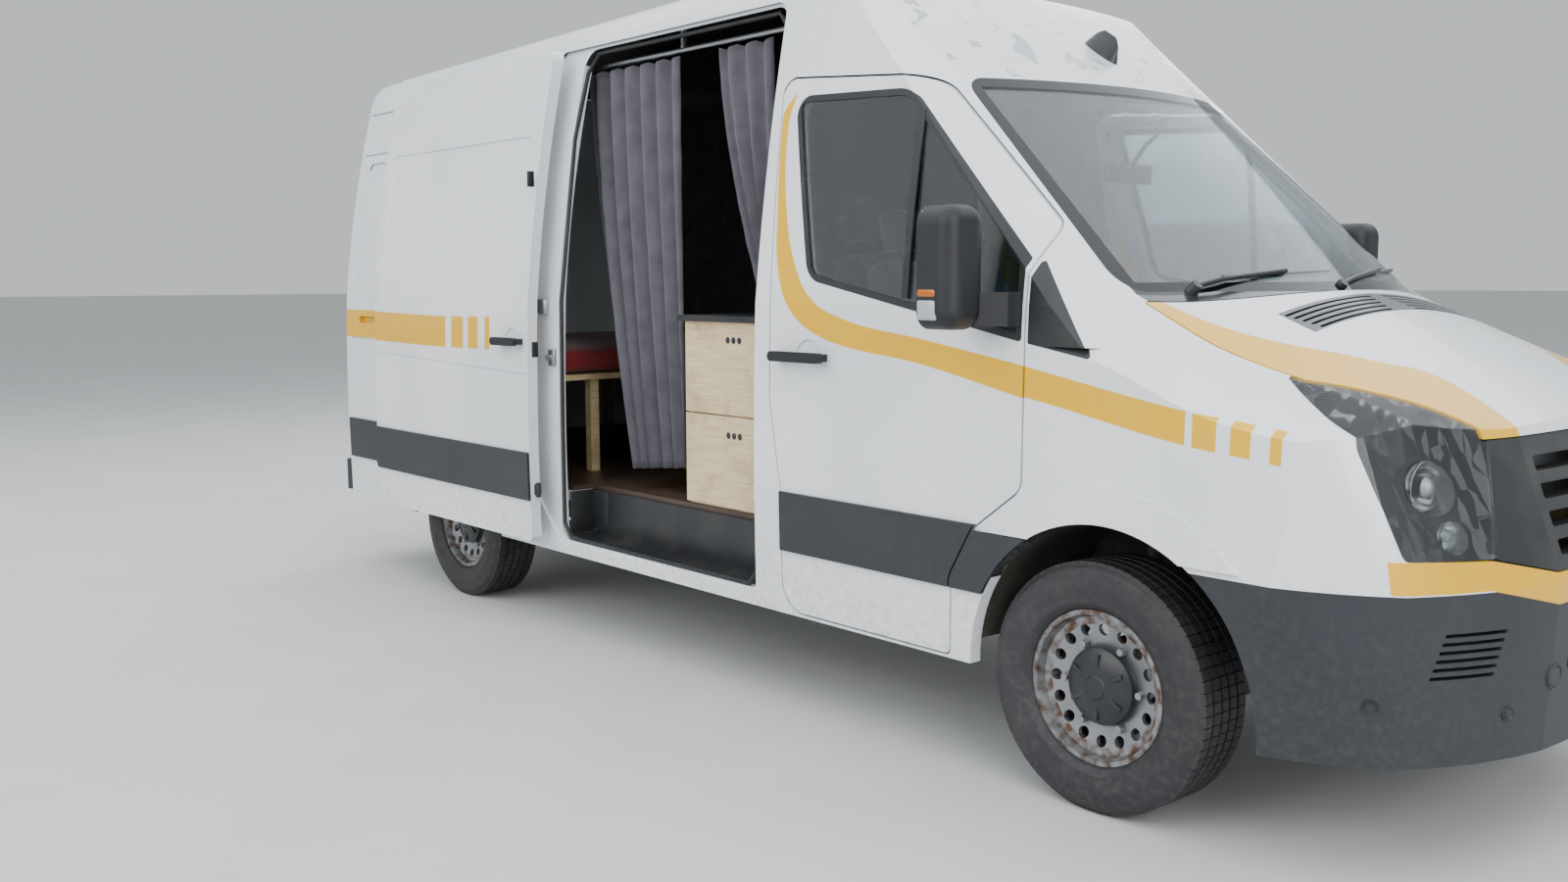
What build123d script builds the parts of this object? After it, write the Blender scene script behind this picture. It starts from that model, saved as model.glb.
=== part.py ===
from build123d import *
from math import cos, radians, sin
import os

os.makedirs("parts", exist_ok=True)

# Panel van with a high roof, fitted out as a camper. Millimetres.
# +X forward, +Y to the left, +Z up; the ground is z = 0 and x = 0 is mid-length.
# Heights are above the ground; places along the van are from the front axle (FX).

# Overall sizes
LENGTH = 5905
HALF_WIDTH = 993
ROOF_HEIGHT = 2705
ROOF_DROP = 65
FRONT_OVERHANG = 1004
WHEELBASE = 3665
TRACK = 1710
BUMPER_DEPTH = 72

# Levels
SILL_Z = 345
FLOOR_Z = 560
MOULDING_LOW_Z = 567
MOULDING_TOP_Z = 770
FASCIA_Z = 738
BELT_Z = 1437
SCREEN_TOP_Z = 2119

# Thicknesses and gaps
WALL = 45
GLASS = 6
SHUT_LINE = 6
HEM = 12
BONNET_FLANGE = 24
MOULDING = 12
FLOOR = 40
WOOD = 20
RUBBER = 22

# Pressings in the skin
PRESS = GLASS
CREASE = 10
CREASE_LEVELS = (2125, 2335)
RECESS_LOW_Z = 1350
RECESS_TOP_Z = 2085
RECESS_EDGE = 75
FLARE_RADIUS = 575
VENT_SLOT = 9
VENT_PITCH = 21
RAIL_Z = 1288
RAIL_SLOT = 34
RAIL_DEPTH = 30
HANDLE_Z = 1232
HANDLE_X = -1170
HANDLE_DISH = 64

# Mirrors: head and its arm
MIRROR_X = -375
MIRROR_Y = 1136
MIRROR_Z = 1519
MIRROR_DEPTH = 130
MIRROR_WIDTH = 153
MIRROR_TALL = 348
MIRROR_ARM = 84

# Chassis
RAIL_Y = 470
TOW_EYE_Y = -250
TOW_EYE_Z = 530
TOW_EYE_RADIUS = 11
TOWBAR_X = 220
TOWBAR_PITCH = 120
TOWBAR_BOLT_RADIUS = 6.5

# Wheels
TYRE_RADIUS = 356
TYRE_WIDTH = 235
RIM_RADIUS = 220
LINER_RADIUS = 470
ARCH_SHIFT = 45
REAR_LINER_RADIUS = 430
REAR_LINER_Y = 640
KINGPIN_Y = 790
PIN_RADIUS = 14
PIN_FIT = 0.4

NOSE_X = LENGTH / 2
TAIL_X = -LENGTH / 2
FX = NOSE_X - FRONT_OVERHANG
RX = FX - WHEELBASE
REAR_FACE_X = TAIL_X + BUMPER_DEPTH
WHEEL_Y = TRACK / 2
DOOR_FRONT = FX - 236
SLIDE_FRONT = FX - 1434
SLIDE_WIDTH = 1478
SLIDE_TRAVEL = 1360
SLIDE_OUT = 97
SLIDE_TOP_Z = 2436
SLIDE_LOW_Z = 388
LEFT, RIGHT = 1, -1
HANDS = ((RIGHT, "right"), (LEFT, "left"))


def across(x):
    """Plane across the van at x, drawn as (y, z)."""
    return Plane(origin=(x, 0, 0), x_dir=(0, 1, 0), z_dir=(1, 0, 0))


def body_section(x, inset):
    """Cross-section at x: sides that lean in above the belt and a crowned roof."""
    top = ROOF_HEIGHT - inset - ROOF_DROP * (FX - 1500 - x) / (FX - 1500 - REAR_FACE_X)
    width = HALF_WIDTH - inset
    with BuildSketch(across(x)) as section:
        with BuildLine():
            for side in (LEFT, RIGHT):
                Line((side * (width - 12), 100), (side * width, MOULDING_TOP_Z))
                ThreePointArc(
                    (side * width, MOULDING_TOP_Z),
                    (side * (width - 2), 1081),
                    (side * (width - 11), 1411),
                )
                ThreePointArc(
                    (side * (width - 11), 1411),
                    (side * (width - 76), 1930),
                    (side * (width - 165), top - 274),
                )
                ThreePointArc(
                    (side * (width - 165), top - 274),
                    (side * (width - 206), top - 178),
                    (side * (width - 293), top - 120),
                )
            ThreePointArc((width - 293, top - 120), (0, top), (293 - width, top - 120))
            Line((width - 12, 100), (12 - width, 100))
        make_face()
    return section.sketch


def side_view(inset):
    """Body in side view: upright tail, long roof and rounded brow over the screen."""
    roof = ROOF_HEIGHT - inset
    tail = REAR_FACE_X + inset
    low = SCREEN_TOP_Z + 16 - inset
    with BuildSketch(Plane.XZ.offset(-2 * HALF_WIDTH)) as view:
        with BuildLine():
            Polyline((FX - 1900, roof), (FX - 1900, roof + 60), (tail + 190, roof + 60))
            Line((tail + 190, roof + 60), (tail + 50, ROOF_HEIGHT - 250))
            Polyline((tail + 50, ROOF_HEIGHT - 250), (tail, 1250), (tail, 40), (FX + 1400, 40))
            Polyline((FX + 1400, 40), (FX + 1400, low), (FX - 575 - 0.3 * inset, low))
            ThreePointArc(
                (FX - 575 - 0.3 * inset, low),
                (FX - 1196 - 0.3 * inset, roof - 189),
                (FX - 1900, roof),
            )
        make_face()
    return view.sketch


# Screen and pillars in plan: height, corner x and y, crown x, x where the side begins
SCREEN_ROWS = (
    (20, FX + 1478, 1037, FX + 1668, FX + 1158),
    (ROOF_HEIGHT + 300, FX - 1657, 596, FX - 1467, FX - 1776),
)


def screen_plan(row, inset):
    """Plan section of the cab at one height: bowed screen between rounded pillars."""
    z, corner_x, corner_y, crown_x, side_x = row
    edge = HALF_WIDTH + 40 - inset
    back = TAIL_X - 200
    corner = (corner_x - 1.4 * inset, corner_y - inset / 2)
    with BuildSketch(Plane.XY.offset(z)) as plan:
        with BuildLine():
            ThreePointArc(corner, (crown_x - 1.4 * inset, 0), (corner[0], -corner[1]))
            for side in (LEFT, RIGHT):
                Line((corner[0], side * corner[1]), (side_x - inset, side * max(edge, corner[1])))
                Line((side_x - inset, side * max(edge, corner[1])), (back, side * edge))
            Line((back, edge), (back, -edge))
        make_face()
    return plan.sketch


def cabin_form(inset):
    """Everything inside the body skin behind the nose, set in by inset."""
    with BuildPart() as form:
        add(body_section(REAR_FACE_X - 100, inset))
        add(body_section(FX + 700, inset))
        loft(ruled=True)
        add(side_view(inset))
        extrude(amount=4 * HALF_WIDTH, dir=(0, -1, 0), mode=Mode.INTERSECT)
        for row in SCREEN_ROWS:
            add(screen_plan(row, inset))
        loft(ruled=True, mode=Mode.INTERSECT)
        with BuildSketch(Plane.XZ.offset(-2 * HALF_WIDTH)):
            with BuildLine():
                Polyline(
                    (DOOR_FRONT - SHUT_LINE / 2, 0),
                    (DOOR_FRONT - SHUT_LINE / 2, 1300),
                    (FX + 160 - inset, 1300 - inset / 4),
                    (FX + 1800, 1300 - inset / 4),
                    (FX + 1800, 0),
                    close=True,
                )
            make_face()
        extrude(amount=4 * HALF_WIDTH, dir=(0, -1, 0), mode=Mode.SUBTRACT)
    return form.part


# Nose sections: x, crown z, seam y and z, shoulder y and z
NOSE_ROWS = (
    (FX - 300, 1560, 840, 1500, HALF_WIDTH - 9, 1360),
    (FX, 1505, 828, 1437, HALF_WIDTH - 9, 1267),
    (FX + 263, 1440, 815, 1308, HALF_WIDTH - 10, 1165),
    (FX + 501, 1335, 790, 1230, HALF_WIDTH - 25, 1105),
    (FX + 706, 1228, 748, 1162, HALF_WIDTH - 52, 1070),
    (FX + 860, 1130, 700, 1068, HALF_WIDTH - 76, 990),
    (FX + 1100, 960, 620, 900, HALF_WIDTH - 114, 840),
)


def nose_section(row, inset):
    """Cross-section of the bonnet and wings: crown, sloping shoulder, upright side."""
    x, crown_z, seam_y, seam_z, shoulder_y, shoulder_z = row
    seam = (seam_y - inset / 2, seam_z - inset)
    shoulder = (shoulder_y - inset, shoulder_z - inset / 2)
    flank = HALF_WIDTH - inset
    with BuildSketch(across(x)) as section:
        with BuildLine():
            ThreePointArc(seam, (0, crown_z - inset), (-seam[0], seam[1]))
            for side in (LEFT, RIGHT):
                Polyline(
                    (side * seam[0], seam[1]),
                    (side * shoulder[0], shoulder[1]),
                    (side * flank, 700),
                    (side * flank, 100),
                )
            Line((flank, 100), (-flank, 100))
        make_face()
    return section.sketch


# Nose in plan: height, crown x, lamp bend x and y, corner x and y, x where the side begins
FASCIA_ROWS = (
    (300, FRONT_OVERHANG - 22, 966, 400, 790, 830, 300),
    (FASCIA_Z, FRONT_OVERHANG, 990, 400, 818, 850, 330),
    (1300, 806, 791, 400, 640, 870, 250),
    (1700, 664, 649, 400, 513, 870, 100),
)


def fascia_plan(row, inset):
    """Plan section of the nose at one height, bent at the lamps and the corners."""
    z, crown_x, bend_x, bend_y, corner_x, corner_y, side_x = row
    edge = HALF_WIDTH + 20 - inset
    bend = (FX + bend_x - inset, bend_y)
    corner = (FX + corner_x - inset, corner_y - inset / 2)
    with BuildSketch(Plane.XY.offset(z)) as plan:
        with BuildLine():
            ThreePointArc(bend, (FX + crown_x - inset, 0), (bend[0], -bend[1]))
            for side in (LEFT, RIGHT):
                ThreePointArc(
                    (bend[0], side * bend[1]),
                    ((bend[0] + corner[0]) / 2 + 22, side * ((bend[1] + corner[1]) / 2 + 12)),
                    (corner[0], side * corner[1]),
                )
                ThreePointArc(
                    (corner[0], side * corner[1]),
                    ((corner[0] + FX + side_x) / 2 + 60, side * (corner_y + 110 - inset)),
                    (FX + side_x, side * edge),
                )
                Line((FX + side_x, side * edge), (FX - 600, side * edge))
            Line((FX - 600, edge), (FX - 600, -edge))
        make_face()
    return plan.sketch


def nose_form(inset):
    """Everything inside the bonnet, wings and fascia, set in by inset."""
    with BuildPart() as form:
        for row in NOSE_ROWS:
            add(nose_section(row, inset))
        loft()
        for row in FASCIA_ROWS:
            add(fascia_plan(row, inset))
        loft(ruled=True, mode=Mode.INTERSECT)
        with BuildSketch(Plane.XY):
            with Locations((DOOR_FRONT - SHUT_LINE / 2, 0)):
                Rectangle(1600, 3 * HALF_WIDTH, align=(Align.MIN, Align.CENTER))
        extrude(amount=2200, mode=Mode.INTERSECT)
    return form.part


def side_prism(outline, radii, grow, sides):
    """Prism through the flanks from a rounded outline in side view, grown by grow."""
    with BuildPart() as prism:
        for side in sides:
            with BuildSketch(Plane.XZ.offset(-side * (HALF_WIDTH + 80))):
                with BuildLine():
                    FilletPolyline(*outline, radius=radii, close=True)
                make_face()
                if grow:
                    offset(amount=grow)
            extrude(amount=420, dir=(0, -side, 0))
    return prism.part


def front_prism(outline, radii, grow, back, depth):
    """Prism along the van from a rounded outline in front view, grown by grow."""
    with BuildPart() as prism:
        with BuildSketch(across(back)):
            with BuildLine():
                FilletPolyline(*outline, radius=radii, close=True)
            make_face()
            if grow:
                offset(amount=grow)
        extrude(amount=depth, dir=(1, 0, 0))
    return prism.part


def side_prism_full(outline):
    """Prism right across the van from an outline in side view."""
    with BuildPart() as prism:
        with BuildSketch(Plane.XZ.offset(-2 * HALF_WIDTH)):
            with BuildLine():
                Polyline(*outline, close=True)
            make_face()
        extrude(amount=4 * HALF_WIDTH, dir=(0, -1, 0))
    return prism.part


def block(x0, x1, y0, y1, z0, z1):
    """Plain block between two corners."""
    box = Box(x1 - x0, y1 - y0, z1 - z0, mode=Mode.PRIVATE)
    return Pos((x0 + x1) / 2, (y0 + y1) / 2, (z0 + z1) / 2) * box


# Outlines in side view
FRONT_DOOR = (
    (FX - 1390, 2168), (FX - 1352, 1400), (FX - 1347, 1078), (FX - 1289, 772),
    (FX - 1288, SILL_Z + 12), (FX - 507, SILL_Z + 10), (FX - 503, 600), (FX - 410, 760),
    (DOOR_FRONT, 890), (DOOR_FRONT, 1640), (FX - 745, 2112),
)
FRONT_DOOR_RADII = (60, 300, 120, 120, 110, 20, 90, 100, 60, 70, 200)
DOOR_WINDOW = (
    (FX - 1318, 2100), (FX - 1170, 1487), (DOOR_FRONT - 12, 1309), (DOOR_FRONT - 12, 1545),
    (FX - 770, 2074),
)
DOOR_WINDOW_RADII = (60, 90, 12, 12, 150)
SAIL = ((DOOR_FRONT + 10, 1548), (DOOR_FRONT + 10, 1306), (FX - 6, 1268))
SLIDE_DOOR = (
    (SLIDE_FRONT, SLIDE_TOP_Z), (SLIDE_FRONT, SLIDE_LOW_Z),
    (SLIDE_FRONT - SLIDE_WIDTH + 180, SLIDE_LOW_Z), (SLIDE_FRONT - SLIDE_WIDTH, 580),
    (SLIDE_FRONT - SLIDE_WIDTH, SLIDE_TOP_Z),
)
SLIDE_DOOR_RADII = (50, 40, 60, 60, 50)
DOORWAY = (
    (SLIDE_FRONT, SLIDE_TOP_Z - 10), (SLIDE_FRONT, SLIDE_LOW_Z + 14),
    (SLIDE_FRONT - SLIDE_WIDTH + 180, SLIDE_LOW_Z + 14),
    (SLIDE_FRONT - SLIDE_WIDTH + 180, SLIDE_TOP_Z - 10),
)
DOORWAY_RADII = (60, 40, 60, 90)

ROOF_REGION = (
    (TAIL_X - 50, 2472), (FX - 1120, 2472), (FX - 735, SCREEN_TOP_Z + 2),
    (FX + 200, SCREEN_TOP_Z + 2), (FX + 200, 3000), (TAIL_X - 50, 3000),
)

# Outlines in front view
SCREEN = (
    (825, BELT_Z + 12), (725, SCREEN_TOP_Z - 6), (-725, SCREEN_TOP_Z - 6), (-825, BELT_Z + 12),
)
REAR_DOOR = ((SHUT_LINE / 2, 2520), (SHUT_LINE / 2, 545), (868, 545), (868, 1400), (770, 2520))
REAR_DOOR_RADII = (8, 8, 60, 400, 90)
LAMP = (
    (600, 812), (838, 816), (866, 991), (884, 1112), (800, 1236), (640, 1320), (520, 1095),
)
LAMP_RADII = (20, 20, 200, 120, 12, 20, 20)
APRON_HALF = ((872, FASCIA_Z + 3), (868, 819), (612, 808), (400, 762))
APRON_LOW = ((400, 683), (640, FASCIA_Z + 3))
GRILLE_HALF = ((400, 765), (597, 810), (521, 1088))

cabin_outer = cabin_form(0)
cabin_glass = cabin_form(GLASS)
outer_form = cabin_outer + nose_form(0)
glass_form = cabin_glass + nose_form(GLASS)
hem_form = cabin_form(HEM) + nose_form(HEM)
inner_form = cabin_form(WALL) + nose_form(WALL)
proud_form = cabin_form(-MOULDING) + nose_form(-MOULDING)
above_sill = block(TAIL_X - 50, NOSE_X + 50, -1200, 1200, SILL_Z, 3000)
shell = (outer_form - inner_form) & above_sill
skin = outer_form - hem_form
pane = outer_form - glass_form


def finish(name, part):
    """Label a finished piece and write it."""
    part.label = name
    export_step(part, "parts/" + name + ".step")


def mirrored(half):
    """Closed front-view outline from the points of its left half, top last."""
    return tuple(half) + tuple((-y, z) for y, z in reversed(half))


def arch_cut(axle_x, radius, shift, inner_y):
    """Space swept out of the flanks by a wheel arch on both sides."""
    with BuildPart() as cut:
        for side in (LEFT, RIGHT):
            with BuildSketch(Plane.XZ.offset(-side * inner_y)):
                with Locations((axle_x + shift, TYRE_RADIUS)):
                    Circle(radius)
                with Locations((axle_x + shift, TYRE_RADIUS)):
                    Rectangle(2 * radius, TYRE_RADIUS + 60, align=(Align.CENTER, Align.MAX))
            extrude(amount=620, dir=(0, side, 0))
    return cut.part


def bonnet_cut(grow):
    """Plan prism of the bonnet, grown by grow, down to the lamps and grille."""
    with BuildPart() as cut:
        with BuildSketch(Plane.XY.offset(900)) as plan:
            with BuildLine():
                ThreePointArc((FX + 30, 812), (FX + 232, 0), (FX + 30, -812))
                for side in (LEFT, RIGHT):
                    Polyline(
                        (FX + 30, side * 812), (FX + 263, side * 810), (FX + 501, side * 782),
                        (FX + 640, side * 690), (FX + 735, side * 610), (FX + 818, side * 545),
                        (FX + 868, side * 521), (FX + 1100, side * 521),
                    )
                Line((FX + 1100, 521), (FX + 1100, -521))
            make_face()
            fillet(plan.vertices().group_by(Axis.X)[0], 12)
            if grow:
                offset(amount=grow)
        extrude(amount=700)
        with BuildSketch(across(FX + 760)):
            with Locations((0, 900)):
                Rectangle(1200, 2 * (188 - grow))
        extrude(amount=500, dir=(1, 0, 0), mode=Mode.SUBTRACT)
    return cut.part


# Cutting shapes for the openings and panels
half_gap = SHUT_LINE / 2
front_arches = arch_cut(FX, LINER_RADIUS, ARCH_SHIFT, 520)
rear_arches = arch_cut(RX, REAR_LINER_RADIUS, 0, REAR_LINER_Y)
screen_pane = cabin_outer - cabin_glass
screen_prism = front_prism(SCREEN, (60, 70, 70, 60), 0, FX - 950, 1300)
screen_hole = screen_prism & proud_form
bonnet_hole = bonnet_cut(half_gap)
bonnet_blank = bonnet_cut(-half_gap)
lamp_prisms = {
    side: front_prism(tuple((side * y, z) for y, z in LAMP), LAMP_RADII, 0, FX + 440, 600)
    for side in (LEFT, RIGHT)
}
apron_outline = tuple(APRON_HALF) + tuple((-y, z) for y, z in reversed(APRON_HALF))
apron_outline += tuple((-y, z) for y, z in reversed(APRON_LOW)) + tuple(APRON_LOW)
apron_prism = front_prism(apron_outline, 4, 0, FX + 560, 600)
grille_prism = front_prism(mirrored(GRILLE_HALF), 4, 0, FX + 560, 600)
bumper_block = block(FX, NOSE_X + 60, -1200, 1200, 0, FASCIA_Z)
roof_region = side_prism_full(ROOF_REGION)
door_holes = side_prism(FRONT_DOOR, FRONT_DOOR_RADII, half_gap, (LEFT, RIGHT))
doorway = side_prism(DOORWAY, DOORWAY_RADII, 0, (RIGHT,))
door_rebate = side_prism(SLIDE_DOOR, SLIDE_DOOR_RADII, half_gap, (RIGHT,))
sails = side_prism(SAIL, 6, 0, (LEFT, RIGHT))
tail_low = block(TAIL_X - 50, REAR_FACE_X + 300, -868, 868, 0, 545)
rear_holes = {}
rear_blanks = {}
for side in (LEFT, RIGHT):
    outline = tuple((side * y, z) for y, z in REAR_DOOR)
    rear_holes[side] = front_prism(outline, REAR_DOOR_RADII, half_gap, TAIL_X - 20, 300)
    rear_blanks[side] = front_prism(outline, REAR_DOOR_RADII, -half_gap, TAIL_X - 20, 300)
rebate_depth = door_rebate - hem_form


def recess(front, back):
    """Outline of one shallow pressed field between two places along the van."""
    return ((front, RECESS_TOP_Z), (front, RECESS_LOW_Z), (back, RECESS_LOW_Z), (back, RECESS_TOP_Z))


# Shallow pressings in the flanks: fields, creases, the sloping swage and the handle dishes
slide_back = SLIDE_FRONT - SLIDE_WIDTH
slide_field = recess(SLIDE_FRONT - RECESS_EDGE, slide_back + RECESS_EDGE)
rear_field = recess(slide_back - RECESS_EDGE, REAR_FACE_X + 2 * RECESS_EDGE)
with BuildPart() as press_shapes:
    add(side_prism(slide_field, 45, 0, (LEFT, RIGHT)))
    add(side_prism(rear_field, 45, 0, (LEFT, RIGHT)))
    for level in CREASE_LEVELS:
        add(block(REAR_FACE_X + RECESS_EDGE, SLIDE_FRONT, -1200, 1200, level, level + CREASE))
    swage = (
        (SLIDE_FRONT, 1090), (SLIDE_FRONT, 1090 + CREASE), (REAR_FACE_X + 60, 1190 + CREASE),
        (REAR_FACE_X + 60, 1190),
    )
    add(side_prism(swage, 2, 0, (LEFT, RIGHT)))
    for side in (LEFT, RIGHT):
        with BuildSketch(Plane.XZ.offset(-side * (HALF_WIDTH + 80))):
            with Locations((FX + HANDLE_X + 19, HANDLE_Z - 6), (SLIDE_FRONT - 130, HANDLE_Z - 6)):
                Circle(HANDLE_DISH)
        extrude(amount=420, dir=(0, -side, 0))
pressings = pane & press_shapes.part
slide_rail = block(
    REAR_FACE_X + 160, slide_back - 12, -1200, RAIL_DEPTH - HALF_WIDTH,
    RAIL_Z - RAIL_SLOT / 2, RAIL_Z + RAIL_SLOT / 2,
)

# Body skin left when the doors, lamps, glass and bumper are out
with BuildPart() as white:
    add(shell)
    openings = (
        door_holes, doorway, rear_holes[LEFT], rear_holes[RIGHT], lamp_prisms[LEFT],
        lamp_prisms[RIGHT], front_arches, rear_arches, screen_hole, bonnet_hole, apron_prism,
        grille_prism, bumper_block, sails, tail_low, rebate_depth,
    )
    add(openings, mode=Mode.SUBTRACT)

with BuildPart() as roof_panel:
    add(white.part)
    add(roof_region, mode=Mode.INTERSECT)
finish("roof_panel", roof_panel.part)

cab_cut = DOOR_FRONT
for side, name in ((LEFT, "side_panel_left"), (RIGHT, "side_panel_right")):
    flank = block(TAIL_X - 50, cab_cut, min(0, side * 1200), max(0, side * 1200), 0, 3000)
    with BuildPart() as side_panel:
        add(white.part)
        add(flank, mode=Mode.INTERSECT)
        add((roof_region, pressings, slide_rail), mode=Mode.SUBTRACT)
    finish(name, side_panel.solids().sort_by(SortBy.VOLUME)[-1])

front_block = block(cab_cut, NOSE_X + 50, -1200, 1200, 0, 3000)
proud_band = proud_form - outer_form
with BuildPart() as flare_ring:
    with BuildSketch(Plane.XZ.offset(-2 * HALF_WIDTH)):
        with Locations((FX + ARCH_SHIFT, TYRE_RADIUS)):
            Circle(FLARE_RADIUS)
            Circle(LINER_RADIUS, mode=Mode.SUBTRACT)
    extrude(amount=4 * HALF_WIDTH, dir=(0, -1, 0))
    add(block(cab_cut - 400, NOSE_X, -1200, 1200, 0, MOULDING_TOP_Z - 15), mode=Mode.SUBTRACT)
    add(door_holes, mode=Mode.SUBTRACT)
with BuildPart() as front_wings:
    add(white.part)
    add(roof_region, mode=Mode.SUBTRACT)
    add(front_block, mode=Mode.INTERSECT)
    add(proud_band & flare_ring.part)
finish("front_wings", front_wings.solids().sort_by(SortBy.VOLUME)[-1])

bonnet_core = shell & bonnet_cut(-half_gap - BONNET_FLANGE)
with BuildPart() as bonnet:
    add(skin)
    add(bonnet_blank, mode=Mode.INTERSECT)
    add(bonnet_core)
    with BuildSketch(Plane.XY.offset(BELT_Z - 150)):
        for slot in range(5):
            with Locations((FX + 282 + VENT_PITCH * slot, 270), (FX + 282 + VENT_PITCH * slot, -270)):
                SlotOverall(470 - 18 * slot, VENT_SLOT, rotation=90)
    extrude(amount=300, mode=Mode.SUBTRACT)
finish("bonnet", bonnet.part)

# Front end
bumper_form = nose_form(0) - nose_form(WALL)
bumper_low = block(FX, NOSE_X + 60, -1200, 1200, 305, FASCIA_Z)
with BuildPart() as front_bumper:
    add(bumper_form)
    add(bumper_low, mode=Mode.INTERSECT)
    add(front_arches, mode=Mode.SUBTRACT)
    add(apron_prism, mode=Mode.SUBTRACT)
    with BuildSketch(across(FX + 560)):
        with Locations((0, 560)):
            RectangleRounded(640, 120, 20)
        for slat in range(6):
            for side in (LEFT, RIGHT):
                with Locations((side * (690 - 5 * slat), 532 + VENT_PITCH * slat)):
                    SlotOverall(170, VENT_SLOT)
    extrude(amount=600, dir=(1, 0, 0), mode=Mode.SUBTRACT)
finish("front_bumper", front_bumper.part)

with BuildPart() as front_apron:
    add(shell)
    add(apron_prism, mode=Mode.INTERSECT)
finish("front_apron", front_apron.part)

with BuildPart() as grille:
    add(shell)
    add(grille_prism, mode=Mode.INTERSECT)
    with BuildSketch(across(FX + 560)):
        for row in range(4):
            with Locations((0, 818 + 68 * row)):
                RectangleRounded(720, 38, 8)
    extrude(amount=600, dir=(1, 0, 0), mode=Mode.SUBTRACT)
finish("grille", grille.part)

# Reflector bowls of each lamp: y, z, radius, x of the bowl's floor
BOWLS = ((728, 985, 66, FX + 745), (700, 868, 40, FX + 800))
lamp_pair = lamp_prisms[LEFT] + lamp_prisms[RIGHT]
lamp_body = (lamp_pair & glass_form) - inner_form
with BuildPart() as bowl_bodies:
    for side in (LEFT, RIGHT):
        for y, z, radius, floor_x in BOWLS:
            with BuildSketch(across(floor_x - 14)):
                with Locations((side * y, z)):
                    Circle(radius + 7)
            extrude(amount=260, dir=(1, 0, 0))
    add(glass_form, mode=Mode.INTERSECT)
with BuildPart() as headlight_housings:
    add(lamp_body)
    add(bowl_bodies.part)
    add((bonnet_hole, apron_prism), mode=Mode.SUBTRACT)
    for side in (LEFT, RIGHT):
        for y, z, radius, floor_x in BOWLS:
            with BuildSketch(across(floor_x)):
                with Locations((side * y, z)):
                    Circle(radius)
                    Circle(0.42 * radius, mode=Mode.SUBTRACT)
            extrude(amount=300, dir=(1, 0, 0), mode=Mode.SUBTRACT)
            with BuildSketch(across(floor_x + 0.7 * radius)):
                with Locations((side * y, z)):
                    Circle(0.43 * radius)
            extrude(amount=300, dir=(1, 0, 0), mode=Mode.SUBTRACT)
finish("headlight_housings", headlight_housings.part)
with BuildPart() as headlight_lenses:
    add(lamp_pair)
    add(outer_form, mode=Mode.INTERSECT)
    add((glass_form, bonnet_hole, apron_prism), mode=Mode.SUBTRACT)
finish("headlight_lenses", headlight_lenses.part)

with BuildPart() as windscreen:
    add(screen_pane)
    add(screen_prism, mode=Mode.INTERSECT)
finish("windscreen", windscreen.part)

# Front doors: hemmed skin over a narrower inner frame, with a rubber-framed window
DOOR_CORE_INSET = 14
DOOR_CORE_RADII = (45, 290, 105, 105, 95, 12, 100, 110, 50, 55, 185)
door_edge = side_prism(FRONT_DOOR, FRONT_DOOR_RADII, -half_gap, (RIGHT,))
door_core = side_prism(FRONT_DOOR, DOOR_CORE_RADII, -DOOR_CORE_INSET, (RIGHT,)) & outer_form
window = side_prism(DOOR_WINDOW, DOOR_WINDOW_RADII, 0, (RIGHT,))
daylight = side_prism(DOOR_WINDOW, (40, 70, 4, 4, 130), -RUBBER, (RIGHT,))
door_skin = (door_edge & outer_form) - hem_form
door_frame = door_core - inner_form
with BuildPart() as front_door:
    add(door_skin)
    add(door_frame)
    add((window, pressings), mode=Mode.SUBTRACT)
with BuildPart() as door_glass:
    add(daylight)
    add(outer_form, mode=Mode.INTERSECT)
    add(glass_form, mode=Mode.SUBTRACT)
with BuildPart() as door_rubber:
    add(window)
    add(outer_form, mode=Mode.INTERSECT)
    add((hem_form, daylight), mode=Mode.SUBTRACT)
for name, piece in (("front_door_", front_door), ("door_glass_", door_glass), ("door_rubber_", door_rubber)):
    with BuildPart() as other_hand:
        add(mirror(piece.part, about=Plane.XZ))
    finish(name + "right", piece.part)
    finish(name + "left", other_hand.part)

# Rear doors
for side, hand in HANDS:
    with BuildPart() as rear_door:
        add(rear_blanks[side])
        add(outer_form, mode=Mode.INTERSECT)
        add(inner_form, mode=Mode.SUBTRACT)
    finish("rear_door_" + hand, rear_door.part)

# Sliding door, run back along the flank
closed_door = side_prism(SLIDE_DOOR, SLIDE_DOOR_RADII, -half_gap, (RIGHT,))
slid = Location((-SLIDE_TRAVEL, -SLIDE_OUT, 0))
roller_arm = block(
    slide_back + 20, slide_back + 90, WALL / 2 - HALF_WIDTH + 8,
    RAIL_DEPTH + SLIDE_OUT - SHUT_LINE - HALF_WIDTH,
    RAIL_Z - RAIL_SLOT / 2 + 5, RAIL_Z + RAIL_SLOT / 2 - 5,
)
with BuildPart() as sliding_door:
    add(closed_door)
    add(outer_form, mode=Mode.INTERSECT)
    add(inner_form, mode=Mode.SUBTRACT)
    add(pressings, mode=Mode.SUBTRACT)
    add(roller_arm)
finish("sliding_door", sliding_door.part.moved(slid))


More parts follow.
